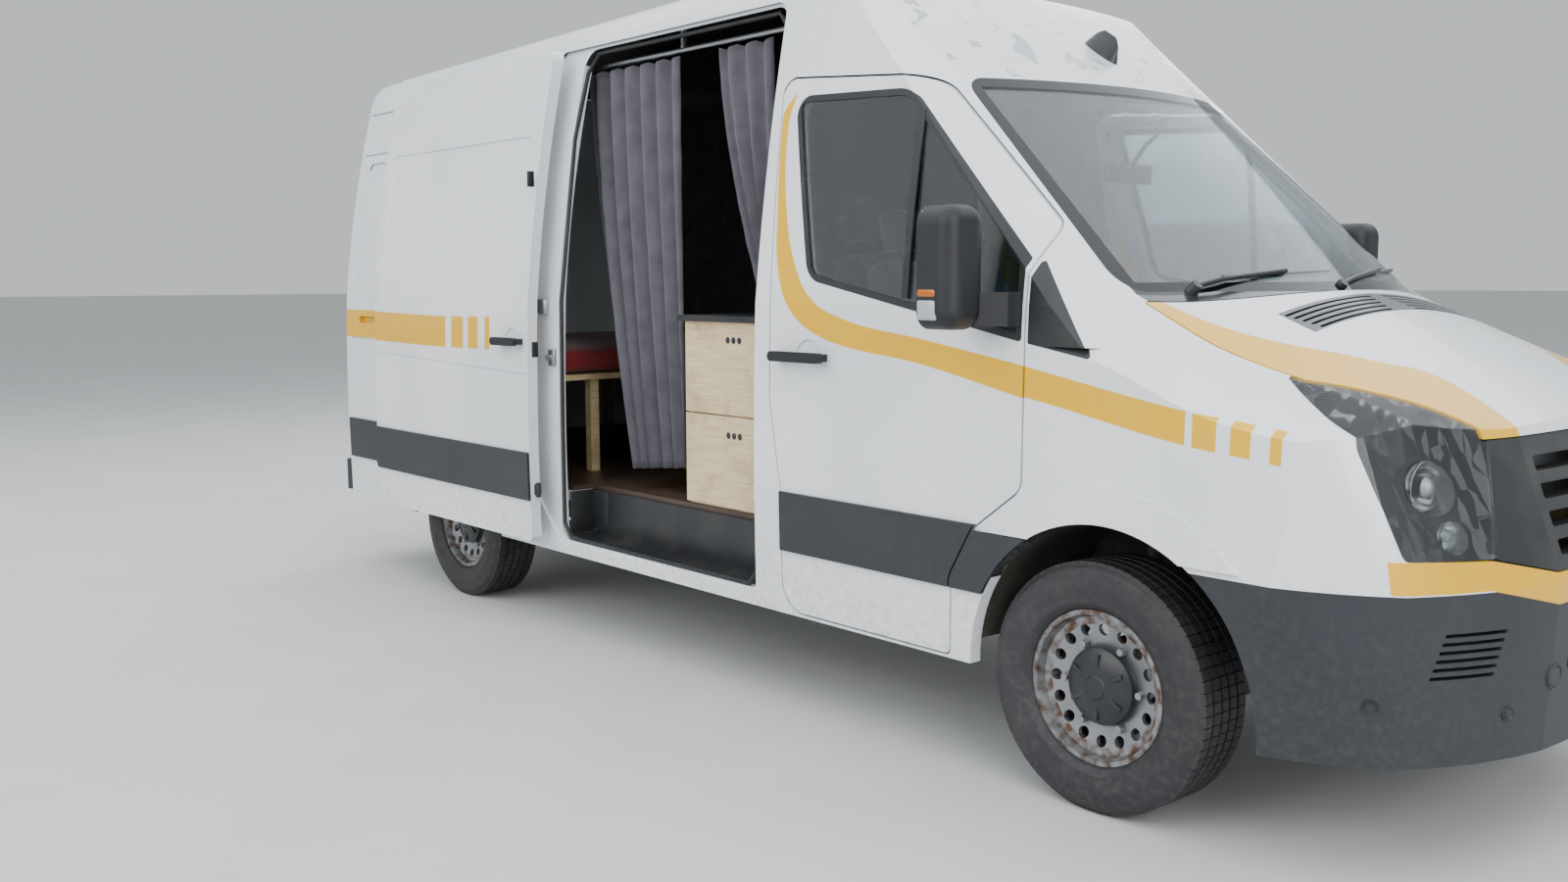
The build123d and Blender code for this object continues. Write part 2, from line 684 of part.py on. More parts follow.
# Black plastic: side mouldings, pillar sails, mirrors and handles
moulding_z = (MOULDING_LOW_Z, MOULDING_TOP_Z)
rear_moulding = block(REAR_FACE_X + 30, RX + 3000, -1200, 1200, *moulding_z)
arch_moulding = block(FX - 560, FX - 60, -1200, 1200, MOULDING_LOW_Z, MOULDING_TOP_Z - 18)
with BuildPart() as arch_piece:
    add(proud_band & arch_moulding)
    add((front_arches, door_holes), mode=Mode.SUBTRACT)
arch_pieces = arch_piece.solids().sort_by(SortBy.VOLUME)[-2:]
with BuildPart() as side_mouldings:
    add(proud_band & rear_moulding)
    add(rear_arches, mode=Mode.SUBTRACT)
    add(block(REAR_FACE_X - 50, FX, -980, 980, 0, 1000), mode=Mode.SUBTRACT)
    add(block(SLIDE_FRONT - SLIDE_WIDTH - 20, FX, -1200, 0, 0, 1000), mode=Mode.SUBTRACT)
    add(block(FX - 1340, FX, 0, 1200, 0, 1000), mode=Mode.SUBTRACT)
    add(arch_pieces)
finish("side_mouldings", side_mouldings.part)

with BuildPart() as pillar_sails:
    add(skin)
    add(sails, mode=Mode.INTERSECT)
finish("pillar_sails", pillar_sails.part)

# Teardrop light pod on the brow above the screen
brow = Plane(origin=(FX - 746, 0, 2250), x_dir=(-0.82, 0, 0.57), z_dir=(0.57, 0, 0.82))
with BuildPart() as roof_pod:
    with BuildSketch(brow):
        Ellipse(84, 40)
    extrude(amount=84, taper=24)
    add(outer_form, mode=Mode.SUBTRACT)
finish("roof_pod", roof_pod.part)

mirror_heads = {}
for side in (LEFT, RIGHT):
    with BuildPart() as mirror_head:
        with BuildSketch(across(FX + MIRROR_X - MIRROR_DEPTH / 2)):
            with Locations((side * MIRROR_Y, MIRROR_Z)):
                RectangleRounded(MIRROR_WIDTH, MIRROR_TALL, 55)
        extrude(amount=MIRROR_DEPTH, dir=(1, 0, 0))
        fillet(mirror_head.faces().sort_by(Axis.X)[-1].edges(), 48)
        with BuildSketch(across(FX + MIRROR_X - MIRROR_DEPTH / 2)):
            with Locations((side * MIRROR_Y, MIRROR_Z + 50)):
                RectangleRounded(MIRROR_WIDTH - 22, MIRROR_TALL - 125, 40)
            with Locations((side * MIRROR_Y, MIRROR_Z - 118)):
                RectangleRounded(MIRROR_WIDTH - 34, 78, 34)
        extrude(amount=12, dir=(1, 0, 0), mode=Mode.SUBTRACT)
    mirror_heads[side] = mirror_head.part
door_moulding = block(FX - 1286, FX - 236, -1200, 1200, *moulding_z)
# The arm stands wholly behind the hinge line, so that it swings clear of the wing and the sail
ARM_FRONT = DOOR_FRONT - 10
for side, hand in HANDS:
    door_edge = side_prism(FRONT_DOOR, FRONT_DOOR_RADII, -half_gap, (side,))
    with BuildPart() as door_trim:
        add(proud_band & door_moulding & door_edge)
        with BuildSketch(Plane.XZ.offset(-side * (HALF_WIDTH + 28))):
            with Locations((FX + HANDLE_X, HANDLE_Z)):
                SlotOverall(262, 34)
        extrude(amount=20, dir=(0, side, 0))
        for x in (FX + HANDLE_X - 105, FX + HANDLE_X + 95):
            with Locations((x, side * (HALF_WIDTH + 12), HANDLE_Z)):
                Box(34, 40, 24)
        with BuildSketch(Plane.XY.offset(MIRROR_Z - 165)):
            with BuildLine():
                Polyline(
                    (ARM_FRONT - MIRROR_ARM, side * (HALF_WIDTH - 60)), (ARM_FRONT, side * (HALF_WIDTH - 60)),
                    (ARM_FRONT - 12, side * (HALF_WIDTH + 40)),
                    (FX + MIRROR_X + 50, side * (MIRROR_Y - MIRROR_WIDTH / 2 + 40)),
                    (FX + MIRROR_X, side * (MIRROR_Y - MIRROR_WIDTH / 2 + 40)),
                    close=True,
                )
            make_face()
        extrude(amount=96)
        add(outer_form, mode=Mode.SUBTRACT)
        add(mirror_heads[side])
    finish("door_trim_" + hand, door_trim.part)

# Sliding door trim
slide_band = block(SLIDE_FRONT - SLIDE_WIDTH, SLIDE_FRONT, -1200, 0, *moulding_z)
with BuildPart() as sliding_door_trim:
    add(proud_band & slide_band & closed_door)
    with BuildSketch(Plane.XZ.offset(HALF_WIDTH + 28)):
        with Locations((SLIDE_FRONT - 130, HANDLE_Z)):
            SlotOverall(200, 34)
    extrude(amount=20, dir=(0, -1, 0))
    for x in (SLIDE_FRONT - 205, SLIDE_FRONT - 60):
        with Locations((x, -(HALF_WIDTH + 12), HANDLE_Z)):
            Box(34, 40, 24)
    add(outer_form, mode=Mode.SUBTRACT)
finish("sliding_door_trim", sliding_door_trim.part.moved(slid))

# Floors and wheelhouses
with BuildPart() as wheelhouses:
    for axle_x, radius, shift, inner_y in (
        (FX, LINER_RADIUS, ARCH_SHIFT, 520), (RX, REAR_LINER_RADIUS, 0, REAR_LINER_Y),
    ):
        for side in (LEFT, RIGHT):
            with BuildSketch(Plane.XZ.offset(-side * (inner_y - 8))):
                with Locations((axle_x + shift, TYRE_RADIUS)):
                    Circle(radius + 8)
                with Locations((axle_x + shift, TYRE_RADIUS + 60)):
                    Rectangle(
                        2 * radius + 16, 600, align=(Align.CENTER, Align.MAX), mode=Mode.SUBTRACT
                    )
            extrude(amount=HALF_WIDTH - WALL - inner_y + 8, dir=(0, side, 0))
    add(front_arches, mode=Mode.SUBTRACT)
    add(rear_arches, mode=Mode.SUBTRACT)
    add(inner_form, mode=Mode.INTERSECT)
finish("wheelhouses", wheelhouses.part)

wheelhouse_solid = arch_cut(FX, LINER_RADIUS + 8, ARCH_SHIFT, 512)
rear_wheelhouse_solid = arch_cut(RX, REAR_LINER_RADIUS + 8, 0, REAR_LINER_Y - 8)
step_well = block(SLIDE_FRONT - SLIDE_WIDTH + 180, SLIDE_FRONT, -1200, -815, 0, 700)
floor_width = HALF_WIDTH - WALL
with BuildPart() as floor_pan:
    add(block(REAR_FACE_X + WALL, FX + 120, -floor_width + 12, floor_width - 12, FLOOR_Z, FLOOR_Z + FLOOR))
    add(wheelhouse_solid, mode=Mode.SUBTRACT)
    add(rear_wheelhouse_solid, mode=Mode.SUBTRACT)
    add(step_well, mode=Mode.SUBTRACT)
    add(inner_form, mode=Mode.INTERSECT)
finish("floor_pan", floor_pan.part)

cab_rear_x = FX - 1440
with BuildPart() as camper_floor:
    add(block(REAR_FACE_X + WALL + 6, cab_rear_x, -floor_width + 30, floor_width - 30, FLOOR_Z + FLOOR, FLOOR_Z + FLOOR + WOOD))
    add(rear_wheelhouse_solid, mode=Mode.SUBTRACT)
    add(block(SLIDE_FRONT - SLIDE_WIDTH + 180, SLIDE_FRONT, -1200, -815, 0, 700), mode=Mode.SUBTRACT)
finish("camper_floor", camper_floor.part)

with BuildPart() as entry_step:
    add(block(SLIDE_FRONT - SLIDE_WIDTH + 182, SLIDE_FRONT - 2, -floor_width, -815, 395, 415))
    add(block(SLIDE_FRONT - SLIDE_WIDTH + 182, SLIDE_FRONT - 2, -829, -815, 415, FLOOR_Z + FLOOR))
    add(inner_form, mode=Mode.INTERSECT)
finish("entry_step", entry_step.part)

with BuildPart() as firewall:
    add(block(FX + 120, FX + 150, -500, 500, FLOOR_Z, 1500))
    add(block(FX + 120, FX + 150, -930, 930, 850, 1500))
    add(inner_form, mode=Mode.INTERSECT)
finish("firewall", firewall.part)

# Chassis
with BuildPart() as chassis_rails:
    for side in (LEFT, RIGHT):
        add(block(REAR_FACE_X + 60, FX + 800, side * RAIL_Y - 40, side * RAIL_Y + 40, 430, FLOOR_Z))
    for x in (REAR_FACE_X + 90, RX - 900, RX + 900, RX + 1700, FX - 700):
        add(block(x - 40, x + 40, -430, 430, 470, FLOOR_Z - 30))
    add(block(FX + 800, FX + 860, -600, 600, 430, FLOOR_Z))
    with Locations(Location((FX + 860, TOW_EYE_Y, TOW_EYE_Z), (0, 90, 0))):
        Cylinder(TOW_EYE_RADIUS, 120, mode=Mode.SUBTRACT)
    with Locations((REAR_FACE_X + TOWBAR_X, 0, 430)):
        with GridLocations(TOWBAR_PITCH, 2 * RAIL_Y, 2, 2):
            Cylinder(TOWBAR_BOLT_RADIUS, 300, mode=Mode.SUBTRACT)
finish("chassis_rails", chassis_rails.part)

with BuildPart() as engine_block:
    add(block(FX + 170, FX + 660, -280, 280, 470, 1040))
    add(block(FX + 380, FX + 440, -430, 430, 480, 530))
finish("engine_block", engine_block.part)

with BuildPart() as radiator:
    add(block(FX + 700, FX + 745, -470, 470, FLOOR_Z, 1010))
finish("radiator", radiator.part)

with BuildPart() as driveline:
    add(block(FX - 420, FX + 170, -130, 130, 330, 545))
    with Locations(Location((FX - 420, 0, TYRE_RADIUS + 20), (0, -90, 0))):
        Cylinder(40, WHEELBASE - 420 - 60, align=(Align.CENTER, Align.CENTER, Align.MIN))

with BuildPart() as rear_axle:
    with Locations(Location((RX, 0, TYRE_RADIUS), (90, 0, 0))):
        Cylinder(52, 2 * 690)
        Cylinder(30, 2 * (WHEEL_Y + 20))
    with Locations((RX, 0, TYRE_RADIUS)):
        Sphere(118)
    for side in (LEFT, RIGHT):
        for row in range(3):
            low = 300 - 14 * row
            reach = 640 - 130 * row
            add(block(RX - reach, RX + reach, side * 470 - 35, side * 470 + 35, low, low + 14))
        for x in (RX - 615, RX + 615):
            add(block(x - 25, x + 25, side * 470 - 40, side * 470 + 40, 314, 430))
finish("rear_axle", rear_axle.part)
finish("driveline", driveline.part - rear_axle.part)

with BuildPart() as front_crossmember:
    add(block(FX - 70, FX + 70, -450, 450, 220, 300))
    for side in (LEFT, RIGHT):
        with BuildSketch(Plane.XY.offset(196)):
            with BuildLine():
                Polyline((FX - 130, side * 430), (FX + 130, side * 430), (FX + 24, side * 770), (FX - 24, side * 770), close=True)
            make_face()
            with Locations((FX, side * KINGPIN_Y)):
                Circle(30)
        extrude(amount=24)
        add(block(FX - 60, FX + 60, side * 445 - 20, side * 445 + 20, 196, 430))
        with Locations((FX, side * KINGPIN_Y, 196)):
            Cylinder(PIN_RADIUS + PIN_FIT, 60, mode=Mode.SUBTRACT)
finish("front_crossmember", front_crossmember.part)

with BuildPart() as exhaust:
    with Locations(Location((FX - 1500, -300, 380), (0, 90, 0))):
        Cylinder(85, 620)
    with Locations(Location((FX - 600, -300, 380), (0, 90, 0))):
        Cylinder(28, 1300)
    for x in (FX - 1500, FX - 300):
        add(block(x - 10, x + 10, -310, -290, 380, FLOOR_Z))
finish("exhaust", exhaust.part)

with BuildPart() as fuel_tank:
    Box(900, 330, 190)
    fillet(fuel_tank.edges(), 30)
    with Locations((-260, 0, 60), (260, 0, 60)):
        Box(40, 300, 80, align=(Align.CENTER, Align.CENTER, Align.MIN))
finish("fuel_tank", fuel_tank.part.moved(Location((FX - 2000, 715, 420))))

with BuildPart() as spare_wheel:
    with BuildSketch(Plane.XZ):
        with Locations((240, 0)):
            RectangleRounded(200, TYRE_WIDTH - 25, 60)
    revolve(axis=Axis.Z)
    with Locations((0, 0, 60)):
        Cylinder(150, 12)
        Cylinder(14, FLOOR_Z - 355 - 60, align=(Align.CENTER, Align.CENTER, Align.MIN))
finish("spare_wheel", spare_wheel.part.moved(Location((RX - 660, 0, 355))))

# Rear bumper and lamps
with BuildPart() as rear_bumper:
    with BuildSketch(Plane.XY.offset(380)):
        with Locations(((TAIL_X + REAR_FACE_X) / 2, 0)):
            RectangleRounded(BUMPER_DEPTH, 2 * HALF_WIDTH, 30)
    extrude(amount=160)
finish("rear_bumper", rear_bumper.part)

with BuildPart() as tail_lamps:
    for side in (LEFT, RIGHT):
        with BuildSketch(Plane.XY.offset(860)):
            with Locations((REAR_FACE_X - 9, side * 925)):
                RectangleRounded(18, 95, 5)
        extrude(amount=470)
finish("tail_lamps", tail_lamps.part)

# Cab inside
with BuildPart() as dashboard:
    with BuildSketch(Plane.XZ.offset(-(HALF_WIDTH - WALL - 60))):
        with BuildLine():
            FilletPolyline(
                (FX + 120, 1392), (FX - 330, 1352), (FX - 420, 1230), (FX - 380, 1060),
                (FX - 200, 900), (FX + 120, 900), radius=30, close=True,
            )
        make_face()
    extrude(amount=2 * (HALF_WIDTH - WALL - 60), dir=(0, -1, 0))
    add(inner_form, mode=Mode.INTERSECT)
finish("dashboard", dashboard.part)

with BuildPart() as steering_wheel:
    Torus(188, 15)
    Cylinder(60, 30)
    with Locations((0, 0, 0)):
        Box(350, 40, 18)
    with Locations((0, 0, 0)):
        Cylinder(24, 210, align=(Align.CENTER, Align.CENTER, Align.MIN))
finish("steering_wheel", steering_wheel.part.moved(Location((FX - 520, 420, 1210), (0, 62, 0))) - dashboard.part)

with BuildPart() as front_seats:
    for y, width in ((420, 500), (-420, 500)):
        with BuildSketch(Plane.XZ.offset(-(y - width / 2))):
            with BuildLine():
                FilletPolyline(
                    (FX - 560, 1010), (FX - 575, 880), (FX - 1080, 860), (FX - 1310, 1560),
                    (FX - 1180, 1590), (FX - 1010, 1040), radius=25, close=True,
                )
            make_face()
        extrude(amount=width, dir=(0, 1, 0))
        with Locations((FX - 1240, y, 1660)):
            Box(110, 290, 180)
        add(block(FX - 1040, FX - 640, y - 210, y + 210, FLOOR_Z + FLOOR, 868))
finish("front_seats", front_seats.part)

# Camper fittings
with BuildPart() as kitchen_cabinet:
    add(block(FX - 2060, FX - 1450, -800, -320, FLOOR_Z + FLOOR + WOOD, 1330))
    add(block(FX - 2070, FX - 1445, -845, -300, 1330, 1352))
    for row in range(2):
        low = FLOOR_Z + FLOOR + WOOD + 10 + row * 352
        add(block(FX - 2057, FX - 1453, -820, -800, low, low + 346))
finish("kitchen_cabinet", kitchen_cabinet.part)

with BuildPart() as bed_platform:
    add(block(REAR_FACE_X + WALL + 30, FX - 3060, -880, 880, 1040, 1064))
    for x in (REAR_FACE_X + WALL + 60, FX - 3100):
        for y in (-580, 580):
            add(block(x - 22, x + 22, y - 22, y + 22, FLOOR_Z + FLOOR + WOOD, 1040))
finish("bed_platform", bed_platform.part)

with BuildPart() as mattress:
    Box(REAR_FACE_X * -1 + FX - 3080 - WALL - 50, 1700, 120)
finish("mattress", mattress.part.moved(Location(((REAR_FACE_X + WALL + 50 + FX - 3080) / 2, 0, 1124.5))))

with BuildPart() as curtains:
    add(block(FX - 2830, FX - 2130, -765, -705, 690, 2360))
    add(block(FX - 1720, FX - 1560, -765, -705, 1370, 2360))
finish("curtains", curtains.part)

with BuildPart() as curtain_rail:
    with Locations(Location((FX - 2160, -735, 2371), (0, 90, 0))):
        Cylinder(11, 1440)
    for x in (FX - 2870, FX - 2160, FX - 1450):
        add(block(x - 8, x + 8, -743, -727, 2371, 2700))
    add(inner_form, mode=Mode.INTERSECT)
finish("curtain_rail", curtain_rail.part)

# Wheels: rims and tyres on the four hubs, knuckles at the front
with BuildPart() as rim_blank:
    with BuildSketch(Plane.XY):
        with BuildLine():
            Polyline(
                (188, -89), (220, -89), (220, -80), (203, -74), (203, 60), (208, 80), (220, 80),
                (220, 89), (206, 89), (196, 62), (150, 52), (95, 40), (95, 60), (34, 60),
                (34, 30), (90, 26), (160, 38), (188, 44), close=True,
            )
        make_face()
    revolve(axis=Axis.Y)
    with BuildSketch(Plane.XZ.offset(-100)):
        with PolarLocations(160, 16):
            Circle(17)
    extrude(amount=100, dir=(0, -1, 0), mode=Mode.SUBTRACT)
with BuildPart() as tyre_blank:
    half = TYRE_WIDTH / 2
    with BuildSketch(Plane.XY):
        with BuildLine():
            FilletPolyline(
                (RIM_RADIUS - 16, -78), (RIM_RADIUS + 8, -half + 14), (RIM_RADIUS + 70, -half),
                (TYRE_RADIUS - 22, -half + 8), (TYRE_RADIUS, -half + 34), (TYRE_RADIUS, half - 34),
                (TYRE_RADIUS - 22, half - 8), (RIM_RADIUS + 70, half), (RIM_RADIUS + 8, half - 14),
                (RIM_RADIUS - 16, 78), radius=8, close=True,
            )
        make_face()
    revolve(axis=Axis.Y)
    add(rim_blank.part, mode=Mode.SUBTRACT)
for axle_x, row in ((FX, "front"), (RX, "rear")):
    for side, hand in HANDS:
        spot = Location((axle_x, side * WHEEL_Y, TYRE_RADIUS), (0, 0, 0 if side > 0 else 180))
        finish("rim_" + row + "_" + hand, rim_blank.part.moved(spot))
        finish("tyre_" + row + "_" + hand, tyre_blank.part.moved(spot))

for side, hand in HANDS:
    with BuildPart() as knuckle:
        with Locations(Location((FX, side * 855, TYRE_RADIUS), (90, 0, 0))):
            Cylinder(33, 130)
        add(block(FX - 35, FX + 35, min(side * 750, side * 800), max(side * 750, side * 800), 224, 470))
        with Locations((FX, side * KINGPIN_Y, 198)):
            Cylinder(PIN_RADIUS, 30, align=(Align.CENTER, Align.CENTER, Align.MIN))
        with Locations((FX, side * 680, 430)):
            Cylinder(26, 330, align=(Align.CENTER, Align.CENTER, Align.MIN))
        add(block(FX - 25, FX + 25, min(side * 670, side * 760), max(side * 670, side * 760), 440, 468))
    finish("knuckle_" + hand, knuckle.part)
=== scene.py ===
import math
import random

import bmesh
import bpy
from mathutils import Matrix, Vector, noise


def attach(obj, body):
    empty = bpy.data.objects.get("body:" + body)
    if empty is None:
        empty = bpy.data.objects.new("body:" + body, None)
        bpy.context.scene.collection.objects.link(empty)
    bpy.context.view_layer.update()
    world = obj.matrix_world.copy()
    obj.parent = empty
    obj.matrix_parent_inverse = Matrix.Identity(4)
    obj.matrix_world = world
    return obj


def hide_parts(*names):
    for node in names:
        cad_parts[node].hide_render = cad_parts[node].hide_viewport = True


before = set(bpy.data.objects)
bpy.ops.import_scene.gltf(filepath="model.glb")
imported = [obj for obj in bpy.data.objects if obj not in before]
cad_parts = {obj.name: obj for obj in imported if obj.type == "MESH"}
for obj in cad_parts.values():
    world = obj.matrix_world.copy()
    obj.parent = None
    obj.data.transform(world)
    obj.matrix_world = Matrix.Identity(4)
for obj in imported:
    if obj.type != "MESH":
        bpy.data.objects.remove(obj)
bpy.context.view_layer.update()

# Sizes in metres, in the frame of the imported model: x forward, y to the left, z up.
FRONT_AXLE = 1.9485
REAR_AXLE = -1.7165
AXLES = {"front": FRONT_AXLE, "rear": REAR_AXLE}
SIDES = {"left": 1, "right": -1}
WHEEL_Y = 0.855                        # middle of each tyre
TYRE_RADIUS = 0.356
TYRE_WIDTH = 0.234
RIM_RADIUS = 0.220
DISC_LIP = 0.174                       # where the wheel disc turns up into its lip
MIRROR_X = FRONT_AXLE - 0.375          # middle of each mirror head
MIRROR_Y = 1.136
SCREEN_OUT = Vector((0.69, 0, 0.72))   # away from the glass at the middle of the screen
TAIL_X = -2.880                        # outer face of the rear doors below their lean
CURTAIN_Y = -0.735                     # line of the curtain rail
FAR = 10.0                             # beyond every side of the van


# Materials

def linear(code):
    """An sRGB hex colour as a linear colour for a shader socket."""
    parts = [int(code[i:i + 2], 16) / 255 for i in (1, 3, 5)]
    return tuple(c / 12.92 if c <= 0.04045 else ((c + 0.055) / 1.055) ** 2.4 for c in parts) + (1.0,)


def add_node(tree, kind, settings=(), sockets=()):
    """Add one node with its settings; a socket takes a value, or the output that feeds it."""
    node = tree.nodes.new("ShaderNode" + kind)
    for name, value in dict(settings).items():
        setattr(node, name, value)
    for name, value in dict(sockets).items():
        if isinstance(value, bpy.types.NodeSocket):
            tree.links.new(value, node.inputs[name])
        else:
            node.inputs[name].default_value = value
    return node


def start_material(name, **sockets):
    """A new material with its shader; sockets are the shader's plain values."""
    material = bpy.data.materials.new(name)
    material.use_nodes = True
    tree = material.node_tree
    shader = tree.nodes["Principled BSDF"]
    for socket, value in sockets.items():
        shader.inputs[socket.replace("_", " ")].default_value = value
    place = add_node(tree, "TexCoord").outputs["Object"]
    return material, tree, shader, place


def speckle(tree, place, grain, detail=4.0, low=0.4, high=0.6):
    """Noise of one grain size in metres, stretched to run from 0 to 1 between low and high."""
    cloud = add_node(tree, "TexNoise", {}, {"Vector": place, "Scale": 1 / grain, "Detail": detail})
    return add_node(tree, "MapRange", {}, {
        "Value": cloud.outputs["Fac"], "From Min": low, "From Max": high}).outputs["Result"]


def weathered(name, colour, second, grime, amount=0.5, rough=(0.35, 0.6), grain=0.0006, bump=0.05,
              low_dirt=0.0, masks=(), **sockets):
    """A surface with slow colour drift, patches of grime, dirt towards the ground and a fine grain.

    masks are pairs: what makes a mask from the material's tree and place, and the colour under it."""
    material, tree, shader, place = start_material(name, **sockets)
    drift = speckle(tree, place, 0.6, 3.0, 0.35, 0.65)
    base = add_node(tree, "Mix", {"data_type": "RGBA"}, {0: drift, 6: linear(colour), 7: linear(second)})
    tint = base.outputs[2]
    for mask, shade in masks:
        cover = mask(tree, place)
        tint = add_node(tree, "Mix", {"data_type": "RGBA"}, {0: cover, 6: tint, 7: linear(shade)}).outputs[2]
    patches = speckle(tree, place, 0.16, 6.0, 0.48, 0.78)
    height = add_node(tree, "SeparateXYZ", {}, {0: place}).outputs["Z"]
    near_road = add_node(tree, "MapRange", {}, {
        "Value": height, "From Min": 1.0, "From Max": 0.3, "To Max": low_dirt}).outputs["Result"]
    specks = speckle(tree, place, 0.02, 6.0, 0.45, 0.7)
    road = add_node(tree, "Math", {"operation": "MULTIPLY"}, {0: near_road, 1: specks}).outputs[0]
    soiled = add_node(tree, "Math", {"operation": "MULTIPLY_ADD", "use_clamp": True}, {
        0: patches, 1: amount, 2: road}).outputs[0]
    shown = add_node(tree, "Mix", {"data_type": "RGBA"}, {0: soiled, 6: tint, 7: linear(grime)}).outputs[2]
    tree.links.new(shown, shader.inputs["Base Color"])
    dull = add_node(tree, "MapRange", {}, {
        "Value": soiled, "To Min": rough[0], "To Max": rough[1]}).outputs["Result"]
    tree.links.new(dull, shader.inputs["Roughness"])
    skin = add_node(tree, "TexNoise", {}, {"Vector": place, "Scale": 1 / grain, "Detail": 2.0})
    relief = add_node(tree, "Bump", {}, {"Height": skin.outputs["Fac"], "Strength": bump, "Distance": 0.001})
    tree.links.new(relief.outputs["Normal"], shader.inputs["Normal"])
    return material


# Masks: 1 on the part of a surface that each one names, and 0 elsewhere

def within(tree, value, low=-FAR, high=FAR):
    """1 where a value lies between two limits."""
    middle, reach = (low + high) / 2, (high - low) / 2
    return add_node(tree, "Math", {"operation": "COMPARE"}, {0: value, 1: middle, 2: reach}).outputs[0]


def all_of(tree, *masks):
    """1 where every mask is 1."""
    whole = masks[0]
    for mask in masks[1:]:
        whole = add_node(tree, "Math", {"operation": "MULTIPLY"}, {0: whole, 1: mask}).outputs[0]
    return whole


def any_of(tree, *masks):
    """1 where at least one mask is 1."""
    whole = masks[0]
    for mask in masks[1:]:
        whole = add_node(tree, "Math", {"operation": "MAXIMUM"}, {0: whole, 1: mask}).outputs[0]
    return whole


def zone(**limits):
    """A mask of the space between pairs of limits along X, Y or Z."""
    def mask(tree, place):
        """1 between all the limits."""
        axes = add_node(tree, "SeparateXYZ", {}, {0: place})
        return all_of(tree, *[within(tree, axes.outputs[axis], *pair) for axis, pair in limits.items()])
    return mask


def edge_curve(tree, value, points, start, stop, floor, top):
    """A stripe's edge through (along, across) points, as a curve node over the value, from 0 to 1."""
    share = add_node(tree, "MapRange", {}, {
        "Value": value, "From Min": start, "From Max": stop}).outputs["Result"]
    node = add_node(tree, "FloatCurve", {}, {"Value": share})
    curve = node.mapping.curves[0]
    steps = sorted(((a - start) / (stop - start), (c - floor) / (top - floor)) for a, c in points)
    while len(curve.points) < len(steps):
        curve.points.new(0.5, 0.5)
    for spot, (a, c) in zip(curve.points, steps):
        spot.location = (a, c)
        spot.handle_type = "AUTO_CLAMPED"
    node.mapping.update()
    return node.outputs["Value"]


def stripe(along, across, low, high, runs):
    """A mask of the stripe between a low and a high edge, along its runs only."""
    ends = [a for a, c in low + high]
    span = [c for a, c in low + high]
    start, stop, floor, top = min(ends), max(ends), min(span), max(span)

    def mask(tree, place):
        """1 above the low edge and below the high one."""
        axes = add_node(tree, "SeparateXYZ", {}, {0: place})
        run, side = axes.outputs[along], axes.outputs[across]
        if across == "Y":
            side = add_node(tree, "Math", {"operation": "ABSOLUTE"}, {0: side}).outputs[0]
        share = add_node(tree, "MapRange", {"clamp": False}, {
            "Value": side, "From Min": floor, "From Max": top}).outputs["Result"]
        lower = edge_curve(tree, run, low, start, stop, floor, top)
        upper = edge_curve(tree, run, high, start, stop, floor, top)
        above = add_node(tree, "Math", {"operation": "GREATER_THAN"}, {0: share, 1: lower}).outputs[0]
        below = add_node(tree, "Math", {"operation": "LESS_THAN"}, {0: share, 1: upper}).outputs[0]
        shown = any_of(tree, *[within(tree, run, first, last) for first, last in runs])
        return all_of(tree, above, below, shown)
    return mask


DOOR_STRIPE = stripe(
    "Z", "X",
    [(1.152, 1.711), (1.227, 1.334), (1.304, 0.841), (1.385, 0.699), (1.524, 0.623), (1.719, 0.596),
     (2.032, 0.573), (2.115, 0.634)],
    [(1.244, 1.711), (1.304, 1.331), (1.366, 0.939), (1.424, 0.802), (1.523, 0.718), (1.717, 0.644),
     (2.005, 0.608), (2.115, 0.636)],
    [(1.152, 2.115)])
WING_STRIPE = stripe(
    "X", "Z",
    [(1.60, 1.170), (1.709, 1.156), (2.240, 1.063), (2.332, 1.052), (2.420, 1.043), (2.520, 1.030)],
    [(1.60, 1.262), (1.709, 1.243), (2.240, 1.151), (2.332, 1.139), (2.420, 1.127), (2.520, 1.113)],
    [(1.60, 2.238), (2.258, 2.326), (2.364, 2.418), (2.468, 2.498)])
BONNET_STRIPE = stripe(
    "X", "Y",
    [(1.80, 0.785), (1.9485, 0.770), (2.2115, 0.700), (2.4905, 0.520), (2.6335, 0.400), (2.95, 0.385)],
    [(1.80, 0.90), (2.95, 0.90)],
    [(1.80, 2.95)])
SLID_STRIPE = stripe(
    "X", "Z",
    [(-2.35, 1.196), (-1.577, 1.187), (-1.15, 1.190)],
    [(-2.35, 1.337), (-1.577, 1.327), (-1.15, 1.332)],
    [(-2.35, -1.577), (-1.521, -1.410), (-1.364, -1.275), (-1.214, -1.170)])
REAR_STRIPE = stripe(
    "X", "Z",
    [(-3.0, 1.198), (-0.217, 1.187), (0.20, 1.190)],
    [(-3.0, 1.338), (-0.217, 1.327), (0.20, 1.332)],
    [(-3.0, -0.217), (-0.161, -0.050), (-0.004, 0.085), (0.146, 0.190)])
# The black strip between the bonnet and the screen.
COWL = zone(X=(1.90, FAR), Y=(-0.795, 0.795), Z=(1.385, FAR))
# The black slotted panel across the back of the bonnet.
VENT_PANEL = zone(X=(2.212, 2.325), Y=(-0.515, 0.515))
# The mirrors and handles, in a blacker plastic than the bumper and the side strips.
ABOVE_WAIST = zone(Z=(1.0, FAR))
LEFT_FLANK = zone(Y=(0.0, FAR))
BEHIND_DOORWAY = zone(X=(-FAR, -0.95))
ROOF_BROW = zone(X=(0.25, FAR))


